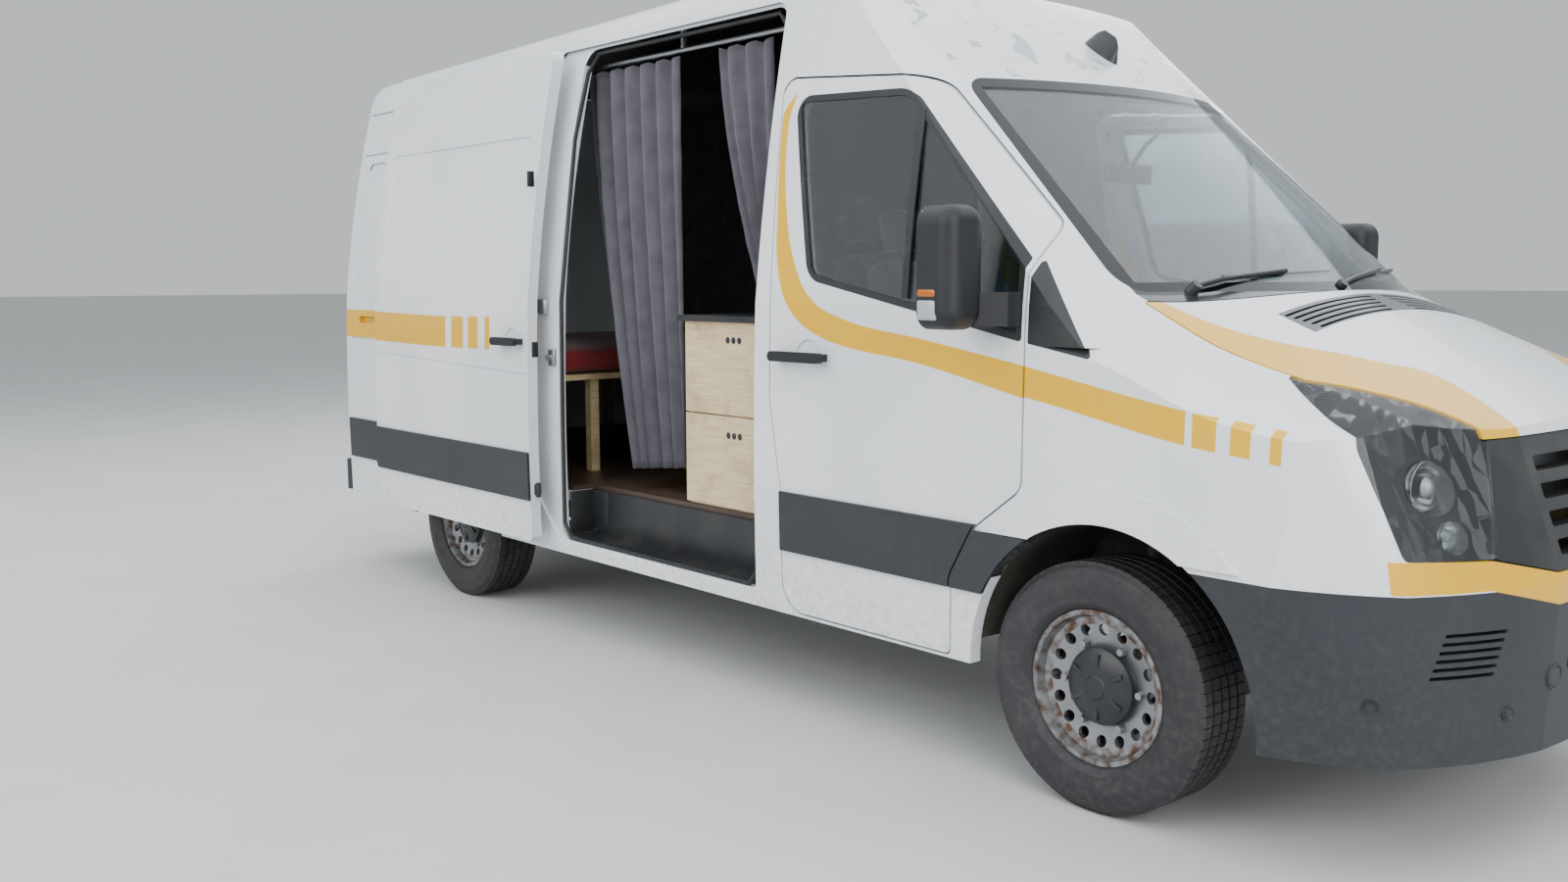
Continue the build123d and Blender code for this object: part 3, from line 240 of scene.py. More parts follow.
def flank_stripe(tree, place):
    """The stripe along both flanks, but not on the posts of the side doorway."""
    flanks = any_of(tree, LEFT_FLANK(tree, place), BEHIND_DOORWAY(tree, place))
    return all_of(tree, flanks, REAR_STRIPE(tree, place))


def inner_painted_shade(tree, place):
    """Painted shade: 1 on the faces above the floor that look into the van, towards its middle or down from
    the roof.
    """
    axes = add_node(tree, "SeparateXYZ", {}, {0: place})
    facing = add_node(tree, "TexCoord").outputs["Normal"]
    ways = add_node(tree, "SeparateXYZ", {}, {0: facing})
    inward = add_node(tree, "Math", {"operation": "MULTIPLY"}, {0: axes.outputs["Y"], 1: ways.outputs["Y"]})
    sideways = within(tree, inward.outputs[0], high=-0.12)
    down = within(tree, ways.outputs["Z"], high=-0.35)
    return all_of(tree, any_of(tree, sideways, down), within(tree, axes.outputs["Z"], low=0.62))


def peeling(tree, place):
    """Ragged patches on the roof's brow where the top coat has flaked off."""
    return all_of(tree, speckle(tree, place, 0.09, 9.0, 0.60, 0.61), ROOF_BROW(tree, place))


def lip_rust(tree, place):
    """Ragged patches of rust round the lip of each wheel disc."""
    axes = add_node(tree, "SeparateXYZ", {}, {0: place})
    middle = (FRONT_AXLE + REAR_AXLE) / 2
    beside = add_node(tree, "Math", {"operation": "SUBTRACT"}, {0: axes.outputs["X"], 1: middle}).outputs[0]
    mirrored = add_node(tree, "Math", {"operation": "ABSOLUTE"}, {0: beside}).outputs[0]
    along = add_node(tree, "Math", {"operation": "SUBTRACT"}, {
        0: mirrored, 1: FRONT_AXLE - middle}).outputs[0]
    up = add_node(tree, "Math", {"operation": "SUBTRACT"}, {0: axes.outputs["Z"], 1: TYRE_RADIUS}).outputs[0]
    flat = add_node(tree, "CombineXYZ", {}, {0: along, 1: up}).outputs[0]
    radius = add_node(tree, "VectorMath", {"operation": "LENGTH"}, {0: flat}).outputs["Value"]
    ragged = speckle(tree, place, 0.035, 8.0, 0.40, 0.62)
    return all_of(tree, ragged, within(tree, radius, low=DISC_LIP))


def screen_band(tree, place):
    """The black enamel printed round the edge of the screen, whose sides lean in 0.122 per metre."""
    axes = add_node(tree, "SeparateXYZ", {}, {0: place})
    height = axes.outputs["Z"]
    spread = add_node(tree, "Math", {"operation": "ABSOLUTE"}, {0: axes.outputs["Y"]}).outputs[0]
    reach = add_node(tree, "Math", {"operation": "MULTIPLY_ADD"}, {0: height, 1: 0.122, 2: spread})
    flank = within(tree, reach.outputs[0], low=0.950)
    return any_of(tree, flank, within(tree, height, low=2.082), within(tree, height, high=1.475))


# Solvent paint over pressed sheet steel: cool white, a little chalky, with a thin film of road grime
# and soft waves 4 mm apart. The stripes are yellow paint; the faces that look into the van get painted shade.
PAINT = dict(colour="#E9ECEE", second="#DEE2E5", grime="#A9A498", amount=0.07, low_dirt=0.5,
             rough=(0.22, 0.6), grain=0.004, bump=0.012, Coat_Weight=0.4, Coat_Roughness=0.08)
YELLOW = "#E6B000"
# Painted shade: the dark grey laid on the faces that look into the van, where shade falls inside it.
INNER_SHADE = "#2B2D2F"
white_steel = weathered("painted_sheet_steel", masks=[(inner_painted_shade, INNER_SHADE)], **PAINT)
door_steel = weathered("painted_door_steel", masks=[(DOOR_STRIPE, YELLOW)], **PAINT)
slid_steel = weathered("painted_sliding_door_steel", masks=[(SLID_STRIPE, YELLOW)], **PAINT)
side_steel = weathered("painted_side_steel", masks=[(flank_stripe, YELLOW), (inner_painted_shade, INNER_SHADE)], **PAINT)
wing_steel = weathered("painted_wing_steel", masks=[
    (WING_STRIPE, YELLOW), (COWL, "#202224"), (inner_painted_shade, INNER_SHADE)], **PAINT)
bonnet_steel = weathered("painted_bonnet_steel", masks=[
    (BONNET_STRIPE, YELLOW), (VENT_PANEL, "#1A1C1E")], **PAINT)
# Gelcoat on a laid-up glass fibre roof: slightly warmer and duller than the steel below it.
# Its faces that look into the van get the same painted shade.
gelcoat = weathered("white_gelcoat", "#E6E9EA", "#D9DDDF", "#9C988E", amount=0.16, rough=(0.3, 0.6),
                    grain=0.006, bump=0.02, masks=[(peeling, "#B4B8BA"), (inner_painted_shade, INNER_SHADE)],
                    Coat_Weight=0.25, Coat_Roughness=0.15)
# Yellow two-pack enamel on the moulded apron, faded and scuffed.
yellow_enamel = weathered("yellow_enamel_apron", YELLOW, "#DCA604", "#8C7A45", amount=0.12,
                          rough=(0.35, 0.65), grain=0.004, bump=0.03, Coat_Weight=0.2)
# Grained polypropylene, grey with a matt, slightly bleached face and a 1.2 mm leather grain.
grey_plastic = weathered("grained_polypropylene", "#212429", "#272B30", "#4E4E4B", amount=0.07,
                         low_dirt=0.25, masks=[(ABOVE_WAIST, "#121417")], rough=(0.5, 0.75),
                         grain=0.0012, bump=0.25)
# Black moulded ABS: a little shinier than the bumper, with dust lying on it.
black_plastic = weathered("black_moulded_plastic", "#1B1C1E", "#242628", "#5B5852", amount=0.25,
                          rough=(0.35, 0.6), grain=0.0012, bump=0.15)
# EPDM rubber: dark, slightly grey with bloom, almost no gloss.
seal_rubber = weathered("epdm_rubber", "#17181A", "#202123", "#4C4A45", amount=0.3, rough=(0.55, 0.8),
                        grain=0.0008, bump=0.15)
# Vulcanised tyre rubber with road dust in the side wall.
tyre_rubber = weathered("tyre_rubber", "#1C1C1D", "#26262A", "#5E5A52", amount=0.16, low_dirt=0.2,
                        rough=(0.6, 0.85), grain=0.0015, bump=0.25)
# Silver lacquer on a pressed steel wheel disc, rusting round its lip.
wheel_silver = weathered("silver_lacquered_steel", "#9A9C9E", "#8B8D90", "#4F4A42", amount=0.45,
                         rough=(0.35, 0.6), grain=0.0015, bump=0.05, masks=[(lip_rust, "#5B4332")],
                         Metallic=0.7)
# Wax and underseal over chassis steel: near black with dried mud.
underseal = weathered("undersealed_steel", "#2A2927", "#34322F", "#6E6658", amount=0.5, low_dirt=0.2,
                      rough=(0.55, 0.85), grain=0.003, bump=0.4)
# Sand-cast iron: rough 2 mm skin with a thin brown bloom.
cast_iron = weathered("cast_iron", "#4A4542", "#58504A", "#6D4B33", amount=0.45, rough=(0.5, 0.75),
                      grain=0.002, bump=0.35, Metallic=0.6)
# Mill-finish aluminium extrusion: pale, half bright, dulled where hands and dust reach it.
aluminium = weathered("extruded_aluminium", "#B4B6B8", "#A8AAAC", "#6F6D68", amount=0.25,
                      rough=(0.3, 0.5), grain=0.0015, bump=0.05, Metallic=1.0)
# Moulded cab plastics behind the glass: dark grey, matt, with a fine grain.
cab_plastic = weathered("cab_moulded_plastic", "#3B3D40", "#46484B", "#5E5B55", amount=0.2,
                        rough=(0.55, 0.7), grain=0.001, bump=0.2)
# Brown vinyl floor, half gloss with pale scuffs.
floor_vinyl = weathered("vinyl_floor", "#4C3B30", "#3D2F27", "#6A5B4C", amount=0.35, rough=(0.4, 0.65),
                        grain=0.002, bump=0.1)
# Dyed acrylic lenses: deep even colour under a smooth skin, fine flutes 4 to 6 mm wide.
red_lens = weathered("red_acrylic_lens", "#A3171B", "#8D1216", "#5A2A26", amount=0.2, rough=(0.12, 0.4),
                     grain=0.006, bump=0.3, Transmission_Weight=0.25, IOR=1.49)
amber_lens = weathered("amber_acrylic_lens", "#E07A1E", "#C9661A", "#6A4A2A", amount=0.15,
                       rough=(0.1, 0.3), grain=0.004, bump=0.2, Transmission_Weight=0.3, IOR=1.49)
clear_lens = weathered("clear_acrylic_lens", "#D9DEDF", "#C6CCCE", "#8F9090", amount=0.15,
                       rough=(0.08, 0.25), grain=0.004, bump=0.2, Transmission_Weight=0.35, IOR=1.49)
# Aluminium vapour on a moulded bowl: nearly a mirror.
chrome = weathered("vacuum_metallised_reflector", "#D9DCDF", "#C7CBCE", "#8A8A88", amount=0.1,
                   rough=(0.06, 0.25), grain=0.01, bump=0.02, Metallic=1.0)
# Silvered mirror glass: bright and sharp.
mirror_silver = start_material("silvered_mirror_glass", Base_Color=linear("#D8DCDD"), Metallic=1.0,
                               Roughness=0.03)[0]
# Retro-reflective sheet on aluminium: flat white with a very fine cell grain, drawn 3 mm wide to show.
plate_white = weathered("retro_reflective_sheet", "#E6E6E0", "#DEDED8", "#9A958A", amount=0.2,
                        rough=(0.3, 0.5), grain=0.003, bump=0.1, low_dirt=0.2)


def tinted_glass(name, colour, clear, band=None, rough=0.0):
    """Glass with its tint in its depth, clear reflections and a few dried water marks.

    clear is the share of light that goes straight through; band masks printed black enamel."""
    material, tree, shader, place = start_material(name, IOR=1.5)
    marks = speckle(tree, place, 0.03, 6.0, 0.62, 0.8)
    film = add_node(tree, "Mix", {"data_type": "RGBA"}, {0: marks, 6: linear(colour), 7: linear("#6E8688")})
    tint = film.outputs[2]
    through = add_node(tree, "MapRange", {}, {"Value": marks, "To Min": 1.0, "To Max": 0.9}).outputs["Result"]
    solid = add_node(tree, "MapRange", {}, {
        "Value": marks, "To Min": 1 - clear, "To Max": 1.1 - clear}).outputs["Result"]
    if band:
        cover = band(tree, place)
        enamelled = add_node(tree, "Mix", {"data_type": "RGBA"}, {0: cover, 6: tint, 7: linear("#0C0D0E")})
        tint = enamelled.outputs[2]
        through = add_node(tree, "Math", {"operation": "SUBTRACT", "use_clamp": True}, {
            0: through, 1: cover}).outputs[0]
        solid = any_of(tree, solid, cover)
    tree.links.new(tint, shader.inputs["Base Color"])
    tree.links.new(through, shader.inputs["Transmission Weight"])
    tree.links.new(solid, shader.inputs["Alpha"])
    dull = add_node(tree, "MapRange", {}, {"Value": marks, "To Min": rough, "To Max": rough + 0.05})
    tree.links.new(dull.outputs["Result"], shader.inputs["Roughness"])
    return material


# Laminated screen, faintly green, with its black printed edge.
screen_glass = tinted_glass("laminated_screen_glass", "#6F979F", 0.4, screen_band)
# Toughened side glass with a deeper blue-green tint.
door_glass = tinted_glass("toughened_door_glass", "#33596A", 0.5)
# Clear plastic of the lamp covers, a little hazed by sun.
lamp_glass = tinted_glass("clear_polycarbonate_lens", "#C9D2D6", 0.5, None, 0.03)


def birch_ply(name, colour, streak, grime, lie=(1.0, 0.0, 0.0)):
    """Lacquered birch plywood: figure 0.14 m long and pores 17 mm long, 14 times narrower across."""
    material, tree, shader, place = start_material(name, Roughness=0.45, Coat_Weight=0.2, Coat_Roughness=0.3)
    squeeze = [1.0 if part else 14.0 for part in lie]
    drawn = add_node(tree, "Mapping", {}, {"Vector": place, "Scale": squeeze}).outputs[0]
    figure = speckle(tree, drawn, 0.14, 5.0, 0.35, 0.68)
    pores = speckle(tree, drawn, 0.0175, 3.0, 0.5, 0.75)
    wood = add_node(tree, "Mix", {"data_type": "RGBA"}, {0: figure, 6: linear(colour), 7: linear(streak)})
    wear = speckle(tree, place, 0.12, 5.0, 0.5, 0.85)
    soiled = add_node(tree, "Mix", {"data_type": "RGBA"}, {0: wear, 6: wood.outputs[2], 7: linear(grime)})
    tree.links.new(soiled.outputs[2], shader.inputs["Base Color"])
    relief = add_node(tree, "Bump", {}, {"Height": pores, "Strength": 0.15, "Distance": 0.0005})
    tree.links.new(relief.outputs["Normal"], shader.inputs["Normal"])
    return material


# Birch plywood under clear lacquer: pale honey, with its figure along the cabinet and across the bed.
cabinet_ply = birch_ply("birch_plywood", "#E2CEA4", "#CDB385", "#A58D66")
bed_ply = birch_ply("birch_plywood_bed", "#D8C296", "#C2A778", "#8F7A57", lie=(0.0, 1.0, 0.0))


# A wave of scale 1 repeats every 0.314 m. Real threads lie about 0.5 mm apart, too fine to show, so
# each cloth is drawn three to five times as coarse.
WAVE_LENGTH = 0.314


def woven(name, colour, second, pitch):
    """Plain weave: crossing threads at their pitch, some threads dyed darker, soft sheen."""
    material, tree, shader, place = start_material(
        name, Roughness=0.9, Sheen_Weight=0.25, Sheen_Roughness=0.5)
    threads = []
    for way in "ZX":
        wave = add_node(tree, "TexWave", {"bands_direction": way}, {
            "Vector": place, "Scale": WAVE_LENGTH / pitch, "Distortion": 0.6, "Detail": 1.0})
        threads.append(wave.outputs["Fac"])
    cross = any_of(tree, *threads)
    shade = speckle(tree, place, 0.08, 5.0, 0.35, 0.7)
    dyed = add_node(tree, "Mix", {"data_type": "RGBA"}, {0: shade, 6: linear(colour), 7: linear(second)})
    gaps = add_node(tree, "MapRange", {}, {"Value": cross, "To Min": 0.55, "To Max": 0.0})
    cloth = add_node(tree, "Mix", {"data_type": "RGBA"}, {
        0: gaps.outputs["Result"], 6: dyed.outputs[2], 7: linear("#3A3632")})
    tree.links.new(cloth.outputs[2], shader.inputs["Base Color"])
    relief = add_node(tree, "Bump", {}, {"Height": cross, "Strength": 0.4, "Distance": 0.0006})
    tree.links.new(relief.outputs["Normal"], shader.inputs["Normal"])
    return material


# Grey-mauve curtain cotton, limp and without gloss.
curtain_cloth = woven("woven_curtain_cotton", "#5C5A63", "#4B4952", 0.0016)
# Dark grey seat polyester, the coarsest of the three.
seat_cloth = woven("woven_seat_polyester", "#3C4046", "#2E3237", 0.0022)
# Red cotton sheet drawn tight over the mattress.
fitted_sheet = woven("red_fitted_sheet", "#8F1D22", "#74161A", 0.0018)

NODE_MATERIALS = {
    white_steel: "floor_pan firewall",
    side_steel: "side_panel_left side_panel_right",
    slid_steel: "sliding_door",
    door_steel: "front_door_left front_door_right rear_door_left rear_door_right",
    wing_steel: "front_wings",
    bonnet_steel: "bonnet",
    gelcoat: "roof_panel",
    yellow_enamel: "front_apron",
    grey_plastic: "front_bumper side_mouldings door_trim_left door_trim_right rear_bumper "
                  "sliding_door_trim",
    black_plastic: "entry_step grille pillar_sails roof_pod headlight_housings steering_wheel",
    cab_plastic: "dashboard",
    seal_rubber: "door_rubber_left door_rubber_right",
    screen_glass: "windscreen",
    door_glass: "door_glass_left door_glass_right",
    lamp_glass: "headlight_lenses",
    red_lens: "tail_lamps",
    wheel_silver: "rim_front_left rim_front_right rim_rear_left rim_rear_right",
    underseal: "wheelhouses chassis_rails front_crossmember fuel_tank",
    cast_iron: "engine_block rear_axle driveline exhaust knuckle_left knuckle_right",
    aluminium: "radiator curtain_rail",
    floor_vinyl: "camper_floor",
    cabinet_ply: "kitchen_cabinet",
    bed_ply: "bed_platform",
    tyre_rubber: "spare_wheel",
}
for material, names in NODE_MATERIALS.items():
    for name in names.split():
        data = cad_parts[name].data
        data.materials.clear()
        data.materials.append(material)


# Building helpers

def add_piece(name, bm, material, body, smooth=35):
    """Close a bmesh into a named object that rides on a body, shaded smooth below an angle."""
    data = bpy.data.meshes.new(name)
    bm.normal_update()
    bm.to_mesh(data)
    bm.free()
    piece = bpy.data.objects.new(name, data)
    bpy.context.scene.collection.objects.link(piece)
    data.materials.append(material)
    for face in data.polygons:
        face.use_smooth = True
    data.set_sharp_from_angle(angle=math.radians(smooth))
    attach(piece, body)
    return piece


def face_out(bm):
    """Merge doubled vertices and turn every face outwards."""
    bmesh.ops.remove_doubles(bm, verts=bm.verts, dist=1e-5)
    bmesh.ops.recalc_face_normals(bm, faces=bm.faces)


def round_edges(bm, verts, radius, segments=2, clamp=True):
    """Bevel every edge that meets the given vertices."""
    edges = list({edge for vert in verts for edge in vert.link_edges})
    bmesh.ops.bevel(bm, geom=edges, offset=radius, segments=segments, profile=0.5, affect="EDGES",
                    material=-1, clamp_overlap=clamp)


def add_box(bm, low, high, radius=0.0, segments=2):
    """A box between two corners with its edges rounded."""
    made = bmesh.ops.create_cube(bm, size=1.0)["verts"]
    bmesh.ops.scale(bm, vec=Vector(high) - Vector(low), verts=made)
    bmesh.ops.translate(bm, vec=(Vector(low) + Vector(high)) / 2, verts=made)
    if radius:
        round_edges(bm, made, radius, segments)


def add_peg(bm, lie, radius, depth, segments=20, tip=None):
    """A capped round peg centred on the matrix lie, along its z; tip is its far radius if it tapers."""
    bmesh.ops.create_cone(bm, cap_ends=True, segments=segments, radius1=radius,
                          radius2=radius if tip is None else tip, depth=depth, matrix=lie)


def add_turned(bm, profile, centre, axis, steps=32):
    """Spin a profile of (radius, along) points about an axis through centre."""
    turn = Vector((0, 0, 1)).rotation_difference(Vector(axis)).to_matrix()
    verts = [bm.verts.new(Vector(centre) + turn @ Vector((r, 0, a))) for r, a in profile]
    edges = [bm.edges.new(pair) for pair in zip(verts, verts[1:])]
    bmesh.ops.spin(bm, geom=verts + edges, cent=centre, axis=axis, dvec=(0, 0, 0),
                   angle=2 * math.pi, steps=steps, use_merge=True)


def add_turned_piece(name, profile, centre, axis, steps, material):
    """A turned piece of its own on the van's body."""
    bm = bmesh.new()
    add_turned(bm, profile, centre, axis, steps)
    face_out(bm)
    add_piece(name, bm, material, "van_body")


def add_boxes(name, boxes, material, body="van_body"):
    """A piece of rounded boxes, each given as two corners, its radius and the steps of its rounding."""
    bm = bmesh.new()
    for box in boxes:
        add_box(bm, *box)
    add_piece(name, bm, material, body)


# Wheels

def add_tyre(end, hand):
    """Tyre with raised tread blocks between grooves, a ribbed side wall and closed beads."""
    half = TYRE_WIDTH / 2
    groove = TYRE_RADIUS - 0.008
    ribs = [(-0.094, -0.060), (-0.052, -0.022), (-0.014, 0.014), (0.022, 0.052), (0.060, 0.094)]
    wall = [(RIM_RADIUS + 0.001, -0.086), (RIM_RADIUS + 0.006, -0.099), (0.240, -0.108),
            (0.244, -0.1105), (0.250, -0.1095), (0.272, -half + 0.002), (0.290, -half),
            (0.308, -half + 0.002), (0.328, -0.1095), (0.332, -0.1095), (0.343, -0.101)]
    tread = [(groove, y) for rib in ribs for y in rib]
    whole = wall + tread + [(r, -y) for r, y in reversed(wall)]
    whole += [(RIM_RADIUS + 0.001, 0.030), (RIM_RADIUS + 0.001, -0.030), whole[0]]
    centre = (AXLES[end], SIDES[hand] * WHEEL_Y, TYRE_RADIUS)
    bm = bmesh.new()
    add_turned(bm, whole, centre, (0, 1, 0), steps=72)
    face_out(bm)
    blocks = []
    for face in bm.faces:
        middle = face.calc_center_median() - Vector(centre)
        if math.hypot(middle.x, middle.z) > groove - 0.002:
            if any(low < middle.y < high for low, high in ribs):
                blocks.append(face)
    bmesh.ops.inset_individual(bm, faces=blocks, thickness=0.0018, depth=0.0078)
    piece = add_piece(f"tyre_{end}_{hand}_tread", bm, tyre_rubber, f"wheel_{end}_{hand}", smooth=50)
    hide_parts(f"tyre_{end}_{hand}")


def add_wheel_cap(end, hand):
    """Dished dark cap on the disc with six ribs, and six nuts round it."""
    side = SIDES[hand]
    centre = Vector((AXLES[end], side * (WHEEL_Y + 0.062), TYRE_RADIUS))
    out = Vector((0, side, 0))
    body = f"wheel_{end}_{hand}"
    bm = bmesh.new()
    dome = [(0.0001, 0.030), (0.030, 0.030), (0.034, 0.026), (0.052, 0.024), (0.092, 0.016),
            (0.108, 0.006), (0.112, -0.004), (0.104, -0.006), (0.0001, -0.006)]
    add_turned(bm, dome, centre, out, steps=48)
    for step in range(6):
        turn = Matrix.Rotation(math.radians(60 * step), 3, out)
        made = bmesh.ops.create_cube(bm, size=1.0)["verts"]
        bmesh.ops.scale(bm, vec=(0.014, 0.010, 0.044), verts=made)
        bmesh.ops.translate(bm, vec=centre + out * 0.020 + Vector((0, 0, 0.074)), verts=made)
        bmesh.ops.rotate(bm, cent=centre, matrix=turn, verts=made)
        round_edges(bm, made, 0.003, clamp=False)
    face_out(bm)
    add_piece(f"wheel_cap_{end}_{hand}", bm, black_plastic, body)
    bm = bmesh.new()
    lie = out.to_track_quat("Z", "Y").to_matrix().to_4x4()
    for step in range(6):
        turn = Matrix.Rotation(math.radians(60 * step + 30), 3, out)
        spot = centre + turn @ Vector((0, 0, 0.126)) - out * 0.004
        add_peg(bm, Matrix.Translation(spot) @ lie, 0.013, 0.018, 6, 0.011)
    add_piece(f"wheel_nuts_{end}_{hand}", bm, wheel_silver, body, smooth=20)


for end in AXLES:
    for hand in SIDES:
        add_tyre(end, hand)
        add_wheel_cap(end, hand)


# Soft goods

def gathered_curtain(name, top, bottom, hooks_z, hem_z, pleats, depth, flat, rise=0.0):
    """A cotton curtain hung from rings: pleats tight at the rail, swept and loose at the hem.

    top and bottom are its ends along the van, depth is half that of a pleat at the hem, flat its
    width and drop when laid out, and rise how far the hem climbs towards the front."""
    random.seed(name)
    swings = [random.uniform(-0.5, 0.5) for step in range(pleats + 2)]
    bm = bmesh.new()
    uv = bm.loops.layers.uv.new("cloth")
    bmesh.ops.create_grid(bm, x_segments=pleats * 10, y_segments=44, size=0.5)
    spots = {vert: (vert.co.x + 0.5, 0.5 - vert.co.y) for vert in bm.verts}
    for face in bm.faces:
        for loop in face.loops:
            u, v = spots[loop.vert]
            loop[uv].uv = (u * flat[0], v * flat[1])
    for vert, (u, v) in spots.items():
        rear = top[0] + (bottom[0] - top[0]) * v ** 1.6
        front = top[1] + (bottom[1] - top[1]) * v ** 1.6
        wave = u * pleats
        swing = swings[int(wave)] * (1 - wave % 1) + swings[int(wave) + 1] * (wave % 1)
        phase = 2 * math.pi * wave + swing * 2.2 * v
        loose = depth * (0.55 + 0.45 * v) * (1 + 0.35 * swing * v)
        sag = 0.012 * abs(math.sin(math.pi * wave)) * (1 - v)
        wrinkle = 0.003 * noise.noise(Vector((u * 18, v * 14, 2.0)))
        vert.co = Vector((rear + (front - rear) * u + 0.006 * math.sin(phase * 2) * v,
                          CURTAIN_Y + loose * math.sin(phase) + wrinkle,
                          hooks_z + (hem_z - hooks_z) * v - sag + rise * u * v))
    piece = add_piece(name, bm, curtain_cloth, "van_body", smooth=80)
    piece.modifiers.new("cloth_thickness", "SOLIDIFY").thickness = 0.0012
    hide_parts("curtains")


gathered_curtain("curtain_wide", top=(-0.880, -0.235), bottom=(-0.600, -0.190), hooks_z=2.352,
                 hem_z=0.700, pleats=6, depth=0.033, flat=(0.95, 1.65), rise=0.04)
gathered_curtain("curtain_narrow", top=(0.010, 0.330), bottom=(0.285, 0.395), hooks_z=2.352,
                 hem_z=1.375, pleats=3, depth=0.028, flat=(0.45, 0.98))


def puff(piece, reach, pressure=4.0, frames=16):
    """Swell a padded piece by a short pressure simulation, by reach at most, and keep the result."""
    scene = bpy.context.scene
    gravity = scene.use_gravity
    scene.use_gravity = False
    rest = [vert.co.copy() for vert in piece.data.vertices]
    cloth = piece.modifiers.new("swell", "CLOTH")
    cloth.settings.use_pressure = True
    cloth.settings.uniform_pressure_force = pressure
    cloth.settings.effector_weights.gravity = 0.0
    cloth.settings.quality = 4
    cloth.point_cache.frame_start, cloth.point_cache.frame_end = 1, frames
    for step in range(1, frames + 1):
        scene.frame_set(step)
    solved = piece.evaluated_get(bpy.context.evaluated_depsgraph_get())
    swollen = [vert.co.copy() for vert in solved.data.vertices]
    piece.modifiers.remove(cloth)
    for vert, before, after in zip(piece.data.vertices, rest, swollen):
        shift = after - before
        if shift.length > reach:
            shift *= reach / shift.length
        vert.co = before + shift
    scene.frame_set(1)
    scene.use_gravity = gravity


def cushion(name, size, place, material, replaced, channels=0, radius=0.035, crown=0.012, cuts=10):
    """A crowned cushion: rounded block, sides drawn in between its corners, sewn channels across."""
    bm = bmesh.new()
    half = [part / 2 for part in size]
    add_box(bm, [-part for part in half], half)
    bmesh.ops.subdivide_edges(bm, edges=bm.edges, cuts=cuts, use_grid_fill=True)
    for vert in bm.verts:
        near = [abs(vert.co[axis]) / half[axis] for axis in range(3)]
        pull = Vector([max(0.0, 1 - (1 - share) * half[axis] / radius) for axis, share in enumerate(near)])
        bend = max(0.0, pull.length - 1.0)
        for axis in range(3):
            if pull[axis] > 0:
                inward = radius * bend * pull[axis] / max(pull.length, 1e-6)
                vert.co[axis] -= math.copysign(inward, vert.co[axis])
        if near[2] > 0.9:
            vert.co.z += math.copysign(crown * (1 - near[0] ** 2) * (1 - near[1] ** 2), vert.co.z)
        for axis in (0, 1):
            if near[axis] > 0.9:
                vert.co[axis] -= math.copysign(0.4 * crown * (1 - near[1 - axis] ** 2), vert.co[axis])
        if channels and vert.co.z > 0:
            share = (vert.co.y / size[1] + 0.5) * channels
            ridge = abs(share - round(share))
            vert.co.z -= 0.010 * max(0.0, 1 - ridge / 0.12) * min(1, 3 * (1 - near[0]))
    bmesh.ops.transform(bm, matrix=place, verts=bm.verts)
    bmesh.ops.recalc_face_normals(bm, faces=bm.faces)
    piece = add_piece(name, bm, material, "van_body", smooth=80)
    puff(piece, crown)
    smooth = piece.modifiers.new("smooth", "SUBSURF")
    smooth.levels = smooth.render_levels = 1
    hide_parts(replaced)


cushion("bed_mattress", (1.648, 1.69, 0.116), Matrix.Translation((-1.959, 0, 1.1245)), fitted_sheet,
        "mattress", radius=0.045, crown=0.006, cuts=16)


def seat(hand, side):
    """Cab seat: foam cushion, bolstered back, head rest on two posts and a moulded base."""
    y = side * 0.42
    tilt = Matrix.Rotation(math.radians(-3), 4, "Y")
    recline = Matrix.Rotation(math.radians(-17.5), 4, "Y")
    upright = recline @ Matrix.Rotation(math.radians(90), 4, "Y")
    cushion(f"seat_cushion_{hand}", (0.47, 0.49, 0.120), Matrix.Translation((1.135, y, 0.935)) @ tilt,
            seat_cloth, "front_seats", channels=5, radius=0.045)
    cushion(f"seat_back_{hand}", (0.62, 0.47, 0.125), Matrix.Translation((0.830, y, 1.262)) @ upright,
            seat_cloth, "front_seats", channels=5, radius=0.050)
    cushion(f"head_rest_{hand}", (0.155, 0.26, 0.088), Matrix.Translation((0.712, y, 1.655)) @ upright,
            seat_cloth, "front_seats", radius=0.036, cuts=6)
    bm = bmesh.new()
    add_box(bm, (0.915, y - 0.205, 0.602), (1.300, y + 0.205, 0.868), 0.020)
    for offset in (-0.07, 0.07):
        add_peg(bm, Matrix.Translation((0.738, y + offset, 1.575)) @ recline, 0.006, 0.09, 12)
    base = add_piece(f"seat_base_{hand}", bm, cab_plastic, "van_body")
    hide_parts("front_seats")


# Outside details

def mirror_fittings(hand, side):
    """Two silvered glasses in the head's back, and the clear and amber repeater on its outer corner."""
    body = f"front_door_{hand}_body"
    back, y = MIRROR_X - 0.065, side * MIRROR_Y
    glasses = [((back + 0.004, y - wide / 2, z - tall / 2), (back + 0.010, y + wide / 2, z + tall / 2), 0.002)
               for z, tall, wide in ((1.569, 0.215, 0.125), (1.401, 0.070, 0.113))]
    add_boxes(f"mirror_glass_{hand}", glasses, mirror_silver, body)
    right, left = sorted((side * 1.170, side * 1.2145))
    for tint, lens, low, high in (("clear", clear_lens, 1.372, 1.432), ("amber", amber_lens, 1.434, 1.462)):
        add_boxes(f"repeater_{tint}_{hand}", [
            ((back - 0.0005, right, low), (back + 0.075, left, high), 0.010, 3)], lens, body)


